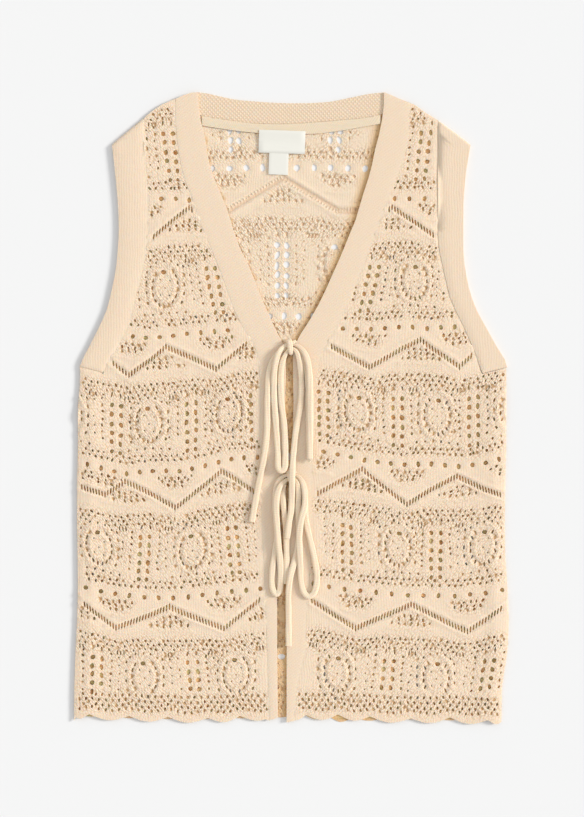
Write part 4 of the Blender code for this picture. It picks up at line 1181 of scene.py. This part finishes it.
def lapped(outline, nodes):
    """A panel's outline, let in under the edges of the bands sewn to it, and how far its points drop."""
    gaps = distance_to_lines(np.array(outline), [closed + closed[:1] for closed in map(outline_of, nodes)])
    points = np.array(outline)
    run = np.roll(points, -1, axis=0) - np.roll(points, 1, axis=0)
    outwards = np.column_stack([run[:, 1], -run[:, 0]]) / np.hypot(*run.T)[:, None]
    probe = inside_outline(points + OUTLINE_PROBE * outwards, outline)
    outwards[probe] *= -1
    sewn = gaps < SEAM_NEAR
    moved = np.where(sewn[:, None], points + SEAM_LAP * outwards, points)
    return [tuple(p) for p in moved], np.where(sewn, SEWN_DROP, EDGE_DROP)


def fine_copy(node, levels):
    """A copy of a CAD piece's mesh with each face halved both ways, levels times."""
    mesh = bmesh.new()
    mesh.from_mesh(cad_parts[node].data)
    bmesh.ops.remove_doubles(mesh, verts=mesh.verts, dist=WELD)
    welded = bpy.data.meshes.new(node)
    mesh.to_mesh(welded)
    mesh.free()
    carrier = bpy.data.objects.new(node + "_fine", welded)
    bpy.context.scene.collection.objects.link(carrier)
    modifier = carrier.modifiers.new("halve", "SUBSURF")
    modifier.subdivision_type = "SIMPLE"
    modifier.levels = levels
    evaluated = carrier.evaluated_get(bpy.context.evaluated_depsgraph_get())
    mesh = bmesh.new()
    mesh.from_mesh(evaluated.to_mesh())
    evaluated.to_mesh_clear()
    bpy.data.objects.remove(carrier)
    mesh.normal_update()
    return mesh


def round_edges(mesh, lines, drop, reach):
    """Rounds down the upper side of a cloth piece towards its edges, and the tops of its walls with it."""
    upper = [v for v in mesh.verts if v.normal.z > UPWARDS]
    places = np.array([(v.co.x / MM, v.co.y / MM) for v in upper])
    gaps = distance_to_lines(places, [list(line) + [line[0]] for line in lines])
    tops = KDTree(len(upper))
    for i, (across, up) in enumerate(places):
        tops.insert((across, up, 0), i)
    tops.balance()
    heights = [v.co.z / MM for v in upper]
    drops = drop * np.exp(-gaps / reach)
    for vert in mesh.verts:
        if abs(vert.normal.z) <= UPWARDS:
            near = tops.find((vert.co.x / MM, vert.co.y / MM, 0))[1]
            share = 1 - max(0.0, heights[near] - vert.co.z / MM) / WALL_EASE
            vert.co.z -= max(0.0, share) * drops[near] * MM
    for vert, fall in zip(upper, drops):
        vert.co.z -= fall * MM


def spread_edges(mesh):
    """Lets out a cloth piece sideways, so that its seams close."""
    for vert in mesh.verts:
        side = Vector((vert.normal.x, vert.normal.y, 0))
        if side.length > UPWARDS:
            vert.co += side.normalized() * SEAM_CLOSE * MM


def cloth_copy(name, node, kind, levels, drop, reach, beside=None):
    """A cloth piece that keeps its CAD form, with a finer mesh and rounded edges.

    With beside, it rounds down to its seam with that panel too.
    """
    outline = outline_of(node)
    lines = [outline] + ([outline_of(beside)] if beside else [])
    mesh = fine_copy(node, levels)
    spread_edges(mesh)
    round_edges(mesh, lines, drop, reach)
    data = bpy.data.meshes.new(name)
    mesh.to_mesh(data)
    mesh.free()
    data.shade_smooth()
    data.set_sharp_from_angle(angle=math.radians(SHARP_BAND))
    return add_piece(name, data, kind, [node]), outline


def smooth_route(table, step):
    """Points along a smooth curve through the rows of a tie's table, about a step apart."""
    rows = np.array(table, float)
    lengths = np.linalg.norm(np.diff(rows[:, :3], axis=0), axis=1)
    places = np.concatenate([[0.0], np.cumsum(lengths**0.5)])
    slopes = np.empty_like(rows)
    slopes[1:-1] = (rows[2:] - rows[:-2]) / (places[2:] - places[:-2])[:, None]
    slopes[0] = (rows[1] - rows[0]) / (places[1] - places[0])
    slopes[-1] = (rows[-1] - rows[-2]) / (places[-1] - places[-2])
    points = []
    for i, length in enumerate(lengths):
        span = places[i + 1] - places[i]
        count = max(1, int(round(length / step)))
        for t in np.arange(count) / count:
            a = (1 + 2 * t) * (1 - t) ** 2 * rows[i] + t * (1 - t) ** 2 * span * slopes[i]
            b = t * t * (3 - 2 * t) * rows[i + 1] - t * t * (1 - t) * span * slopes[i + 1]
            points.append(a + b)
    points.append(rows[-1])
    return np.array(points)


def tie_mesh(name, route):
    """A flattened tube along a route, with its unrolled width and length in metres as its UV map."""
    centres = route[:, :3]
    along = np.gradient(centres, axis=0)
    along /= np.linalg.norm(along, axis=1)[:, None]
    across = np.cross((0, 0, 1), along)
    across /= np.linalg.norm(across, axis=1)[:, None]
    upwards = np.cross(along, across)
    run = np.concatenate([[0.0], np.cumsum(np.linalg.norm(np.diff(centres, axis=0), axis=1))])
    mesh = bmesh.new()
    uv = mesh.loops.layers.uv.new("UVMap")
    rings = []
    crease, crease_width = TIE_CREASE
    for centre, side, up, share, place in zip(centres, across, upwards, route[:, 3], run):
        waver = math.sin(place / WAVER_LENGTHS[0]) * math.sin(place / WAVER_LENGTHS[1] + 1)
        half = TIE_WIDTH / 2 * share * (1 + TIE_WAVER * waver)
        crease_place = CREASE_DRIFT[0] * math.sin(place / CREASE_DRIFT[1])
        ring = []
        for k in range(TIE_SIDES):
            turn = math.tau * k / TIE_SIDES
            u, v = math.cos(turn), math.sin(turn)
            dent = 1 - crease * math.exp(-(((u - crease_place) / crease_width) ** 2))
            rise = math.copysign(abs(v) ** TIE_SQUARE, v) * TIE_FLATTEN * dent
            ring.append(mesh.verts.new(centre + side * half * u + up * half * rise))
        rings.append(ring)
    girth = TIE_WIDTH * TIE_GIRTH
    for i, (lower, upper) in enumerate(zip(rings, rings[1:])):
        for k in range(TIE_SIDES):
            after = (k + 1) % TIE_SIDES
            face = mesh.faces.new((lower[k], lower[after], upper[after], upper[k]))
            corners = ((k, i), (k + 1, i), (k + 1, i + 1), (k, i + 1))
            for loop, (side, step) in zip(face.loops, corners):
                loop[uv].uv = (girth * side / TIE_SIDES, run[step])
    for ring, centre in ((rings[0][::-1], centres[0]), (rings[-1], centres[-1])):
        middle = mesh.verts.new(centre)
        for a, b in zip(ring, ring[1:] + ring[:1]):
            mesh.faces.new((a, b, middle))
    bmesh.ops.recalc_face_normals(mesh, faces=mesh.faces)
    data = bpy.data.meshes.new(name)
    mesh.to_mesh(data)
    mesh.free()
    data.shade_smooth()
    data.set_sharp_from_angle(angle=math.radians(SHARP_TIE))
    return data


class VEST_OT_stage(bpy.types.Operator):
    """Adds the plain pale floor, the soft light and the camera"""

    bl_idname = "vest.stage"
    bl_label = "Stage"

    def execute(self, context):
        floor_data = bpy.data.meshes.new("floor")
        floor_mesh = bmesh.new()
        bmesh.ops.create_grid(floor_mesh, x_segments=1, y_segments=1, size=FLOOR_HALF)
        floor_mesh.to_mesh(floor_data)
        floor_mesh.free()
        floor = bpy.data.objects.new("floor", floor_data)
        floor.location.z = FLOOR_LEVEL
        context.scene.collection.objects.link(floor)
        paper, _, shader = new_material("matte_white_paper", roughness=0.95, sheen=0.0, glow=0.0)
        shader.inputs["Base Color"].default_value = (FLOOR_GREY, FLOOR_GREY, FLOOR_GREY, 1)
        floor_data.materials.append(paper)

        key = bpy.data.lights.new("key", "SUN")
        key.energy = KEY_LIGHT * math.pi / math.sin(math.radians(KEY_ELEVATION))
        key.angle = math.radians(KEY_SPREAD)
        key.color = KEY_TINT
        key_object = bpy.data.objects.new("key", key)
        key_object.rotation_euler = (0, math.radians(90 - KEY_ELEVATION), math.radians(KEY_AZIMUTH))
        context.scene.collection.objects.link(key_object)
        world = bpy.data.worlds.new("studio")
        world.use_nodes = True
        background = world.node_tree.nodes["Background"]
        background.inputs["Color"].default_value = (*FILL_TINT, 1)
        background.inputs["Strength"].default_value = FILL_LIGHT
        context.scene.world = world

        camera = bpy.data.cameras.new("camera")
        camera.lens = CAMERA_LENS
        camera.clip_end = CAMERA_FAR
        camera_object = bpy.data.objects.new("camera", camera)
        across, along = at(SHEET_SIZE[0] / 2, SHEET_SIZE[1] / 2)
        camera_object.location = (across * MM, along * MM, context.scene.vest_sizes.camera_height)
        context.scene.collection.objects.link(camera_object)
        context.scene.camera = camera_object
        context.scene.view_settings.view_transform = "Standard"
        return {"FINISHED"}


class VEST_OT_ties(bpy.types.Operator):
    """Adds the four tubular ties and the turn of tie round each bow"""

    bl_idname = "vest.ties"
    bl_label = "Ties"

    def execute(self, context):
        for name, table in KNOTS.items():
            route = smooth_route(table, TIE_STEP / 2)
            route[:, 3] *= 1 + KNOT_SWELL * np.sin(np.linspace(0, math.pi, len(route)))
            data = tie_mesh(name + "_turn", route)
            add_piece(name + "_turn", data, CORD, [name])
        for name, (table, length, knot) in TIES.items():
            route = smooth_route(table, TIE_STEP)
            data = tie_mesh(name + "_cord", route)
            tie = add_piece(name + "_cord", data, CORD, [name])
        return {"FINISHED"}


class VEST_OT_back(bpy.types.Operator):
    """Knits the openwork back, whose inner side shows inside the V neck"""

    bl_idname = "vest.back"
    bl_label = "Back"

    def execute(self, context):
        sizes = context.scene.vest_sizes
        rng = random.Random(SEED_BACK)
        outline = with_hem(outline_of("back_panel"), CHART_BACK.hem)
        holes, ridges, domes = chart_holes(CHART_BACK, rng)
        holes = fitting_holes(holes, outline, BACK_MARGIN)
        front_holes = [
            hole for chart, seed in ((CHART_RIGHT, SEED_RIGHT), (CHART_LEFT, SEED_LEFT))
            for hole in chart_holes(chart, random.Random(seed))[0] if hole.width >= OPEN_WIDTH
        ]
        over = tree_of_points([(hole.across, hole.along) for hole in front_holes])
        pits = [h for h in holes if h.width < OPEN_WIDTH or over.find((h.across, h.along, 0))[2] < ALIGNED]
        shut = set(pits)
        holes = [
            hole._replace(length=hole.length * OPEN_GROWTH, width=hole.width * OPEN_GROWTH)
            for hole in holes if hole not in shut
        ]
        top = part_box("back_panel")[1].z / MM - BACK_SINK
        step = sizes.lace_step / MM * BACK_COARSER
        drops = [EDGE_DROP] * len(outline)
        data = lace_mesh("lace_back", outline, drops, holes, pits, ridges, domes, lambda x, y: top, step, rng)
        piece = add_piece("lace_back", data, "openwork_cotton_knit", ["back_panel"])
        thicken(piece, BACK_WALL * MM)
        shade_depth(piece)
        return {"FINISHED"}


class VEST_OT_fronts(bpy.types.Operator):
    """Knits the two openwork fronts with their scalloped hems"""

    bl_idname = "vest.fronts"
    bl_label = "Fronts"

    def execute(self, context):
        sizes = context.scene.vest_sizes
        fronts = (("front_right", CHART_RIGHT, SEED_RIGHT), ("front_left", CHART_LEFT, SEED_LEFT))
        for node, chart, seed in fronts:
            rng = random.Random(seed)
            tree = tree_of(node)
            side = node.removeprefix("front_")
            outline = with_hem(outline_of(node), chart.hem)
            outline = along_line(outline + outline[:1], EDGE_STEP)[:-1]
            outline, drops = lapped(outline, ["front_band_" + side, "armhole_band_" + side])
            holes, ridges, domes = chart_holes(chart, rng)
            holes = [h for h in holes if h.along > HEM_ZONE + HEM_CLEAR] + hem_holes(chart.hem, rng)
            holes = fitting_holes(holes, outline, FRONT_MARGIN)
            small = [hole for hole in holes if hole.seeded and hole.width < SHUT_WIDTH]
            pits = [hole for hole in small if rng.random() < SHUT_SHARE]
            shut = set(pits)
            holes = [hole for hole in holes if hole not in shut]
            name = "lace_" + node
            step = sizes.lace_step / MM
            level = partial(top_level, tree)
            data = lace_mesh(name, outline, drops, holes, pits, ridges, domes, level, step, rng)
            piece = add_piece(name, data, "openwork_cotton_knit", [node])
            thicken(piece, sizes.lace_wall)
        return {"FINISHED"}


def thicken(piece, wall):
    """Gives a sheet its thickness, downwards from its upper side."""
    modifier = piece.modifiers.new("wall", "SOLIDIFY")
    modifier.thickness = wall
    modifier.offset = -1.0
    settle(piece)


def shade_depth(piece):
    """Marks how deep each point of the back lies in painted shade under the fronts and beside their edges:
    painted golden brown.
    """
    covers = [tree_of(n) for n in ("front_right", "front_left", "front_band_right", "front_band_left")]
    # The back's pits get less painted shade than the fronts'
    for pit in piece.data.attributes["pit"].data:
        pit.value *= BACK_PIT_SHADE
    painted_shade = piece.data.attributes.new("painted_shade", "FLOAT", "POINT")
    values = []
    for vert in piece.data.vertices:
        value = 0.0
        for step in range(COVER_STEPS):
            point = Vector((vert.co.x + step * MM, vert.co.y, SKY))
            if any(tree.ray_cast(point, Vector((0, 0, -1)))[0] for tree in covers):
                value = (1 - step / COVER_STEPS) ** COVER_FADE
                break
        if vert.co.y < V_POINT:
            value = max(value, GAP_PAINTED_SHADE)
        values.append(value)
    painted_shade.data.foreach_set("value", values)


class VEST_OT_bands(bpy.types.Operator):
    """Adds the close-knit bands of the fronts, the armholes and the back neck"""

    bl_idname = "vest.bands"
    bl_label = "Bands"

    def execute(self, context):
        for side in ("right", "left"):
            piece, outline = cloth_copy(
                "knit_band_" + side, "front_band_" + side, "close_cotton_knit",
                levels=3, drop=BAND_ROUND, reach=BAND_ROUND_REACH,
            )
            piece, outline = cloth_copy(
                "knit_armhole_" + side, "armhole_band_" + side, "armhole_rib",
                levels=2, drop=ARMHOLE_ROUND, reach=BAND_ROUND_REACH, beside="front_" + side,
            )
        piece, outline = cloth_copy(
            "knit_neck_band", "back_neck_band", "seed_stitch",
            levels=3, drop=BAND_ROUND, reach=BAND_ROUND_REACH,
        )
        return {"FINISHED"}


class VEST_OT_labels(bpy.types.Operator):
    """Adds the neck tape, the blank woven label and the blank size tab"""

    bl_idname = "vest.labels"
    bl_label = "Tape and labels"

    def execute(self, context):
        tape, outline = cloth_copy(
            "woven_tape", "neck_tape", "cotton_neck_tape",
            levels=2, drop=TAPE_ROUND, reach=TAPE_ROUND_REACH,
        )
        blanks = (("blank_label", "woven_label", LABEL_SIZE), ("blank_size_tab", "size_tab", TAB_SIZE))
        for name, node, size in blanks:
            piece = add_piece(name, label_mesh(name, node, size), "woven_label", [node])
            thicken(piece, LABEL_WALL)
        return {"FINISHED"}


def label_mesh(name, node, size):
    """The upper side of a blank label: a fine grid on its solid, turned a little, its edges bent down."""
    tree = tree_of(node)
    low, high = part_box(node)
    middle = (low + high) / 2
    turn = math.radians(LABEL_TURN)
    mesh = bmesh.new()
    grid = []
    for j in range(LABEL_CELLS + 1):
        v = j / LABEL_CELLS - 0.5
        row = []
        for i in range(LABEL_CELLS + 1):
            u = i / LABEL_CELLS - 0.5
            across = middle.x + u * size[0] * math.cos(turn) - v * size[1] * math.sin(turn)
            along = middle.y + u * size[0] * math.sin(turn) + v * size[1] * math.cos(turn)
            level = top_level(tree, across / MM, along / MM)
            bend = LABEL_BEND * (abs(2 * u) ** LABEL_BEND_POWER + abs(2 * v) ** LABEL_BEND_POWER)
            row.append(mesh.verts.new((across, along, (level - bend) * MM)))
        grid.append(row)
    for lower, upper in zip(grid, grid[1:]):
        for i in range(LABEL_CELLS):
            mesh.faces.new((lower[i], lower[i + 1], upper[i + 1], upper[i]))
    data = bpy.data.meshes.new(name)
    mesh.to_mesh(data)
    mesh.free()
    return data


class VEST_PT_panel(bpy.types.Panel):
    """Lists the vest's sizes, colours and pieces"""

    bl_idname = "VEST_PT_panel"
    bl_label = "Openwork tie vest"
    bl_space_type = "VIEW_3D"
    bl_region_type = "UI"
    bl_category = "Vest"

    def draw(self, context):
        column = self.layout.column()
        for group in (context.scene.vest_sizes, context.scene.vest_colours):
            for key in group.__annotations__:
                column.prop(group, key)
        for operator in OPERATORS:
            column.operator(operator.bl_idname)


OPERATORS = (VEST_OT_stage, VEST_OT_ties, VEST_OT_back, VEST_OT_fronts, VEST_OT_bands, VEST_OT_labels)
CLASSES = (VestSizes, VestColours, VestMaterial, *OPERATORS, VEST_PT_panel)


def register():
    for cls in CLASSES:
        bpy.utils.register_class(cls)
    bpy.types.Scene.vest_sizes = bpy.props.PointerProperty(type=VestSizes)
    bpy.types.Scene.vest_colours = bpy.props.PointerProperty(type=VestColours)
    bpy.types.Scene.vest_materials = bpy.props.CollectionProperty(type=VestMaterial)


def unregister():
    del bpy.types.Scene.vest_materials
    del bpy.types.Scene.vest_colours
    del bpy.types.Scene.vest_sizes
    for cls in reversed(CLASSES):
        bpy.utils.unregister_class(cls)


def main():
    register()
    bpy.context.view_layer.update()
    bpy.ops.vest.stage()
    bpy.ops.vest.ties()
    bpy.ops.vest.back()
    bpy.ops.vest.fronts()
    bpy.ops.vest.bands()
    bpy.ops.vest.labels()


if __name__ == "__main__":
    main()
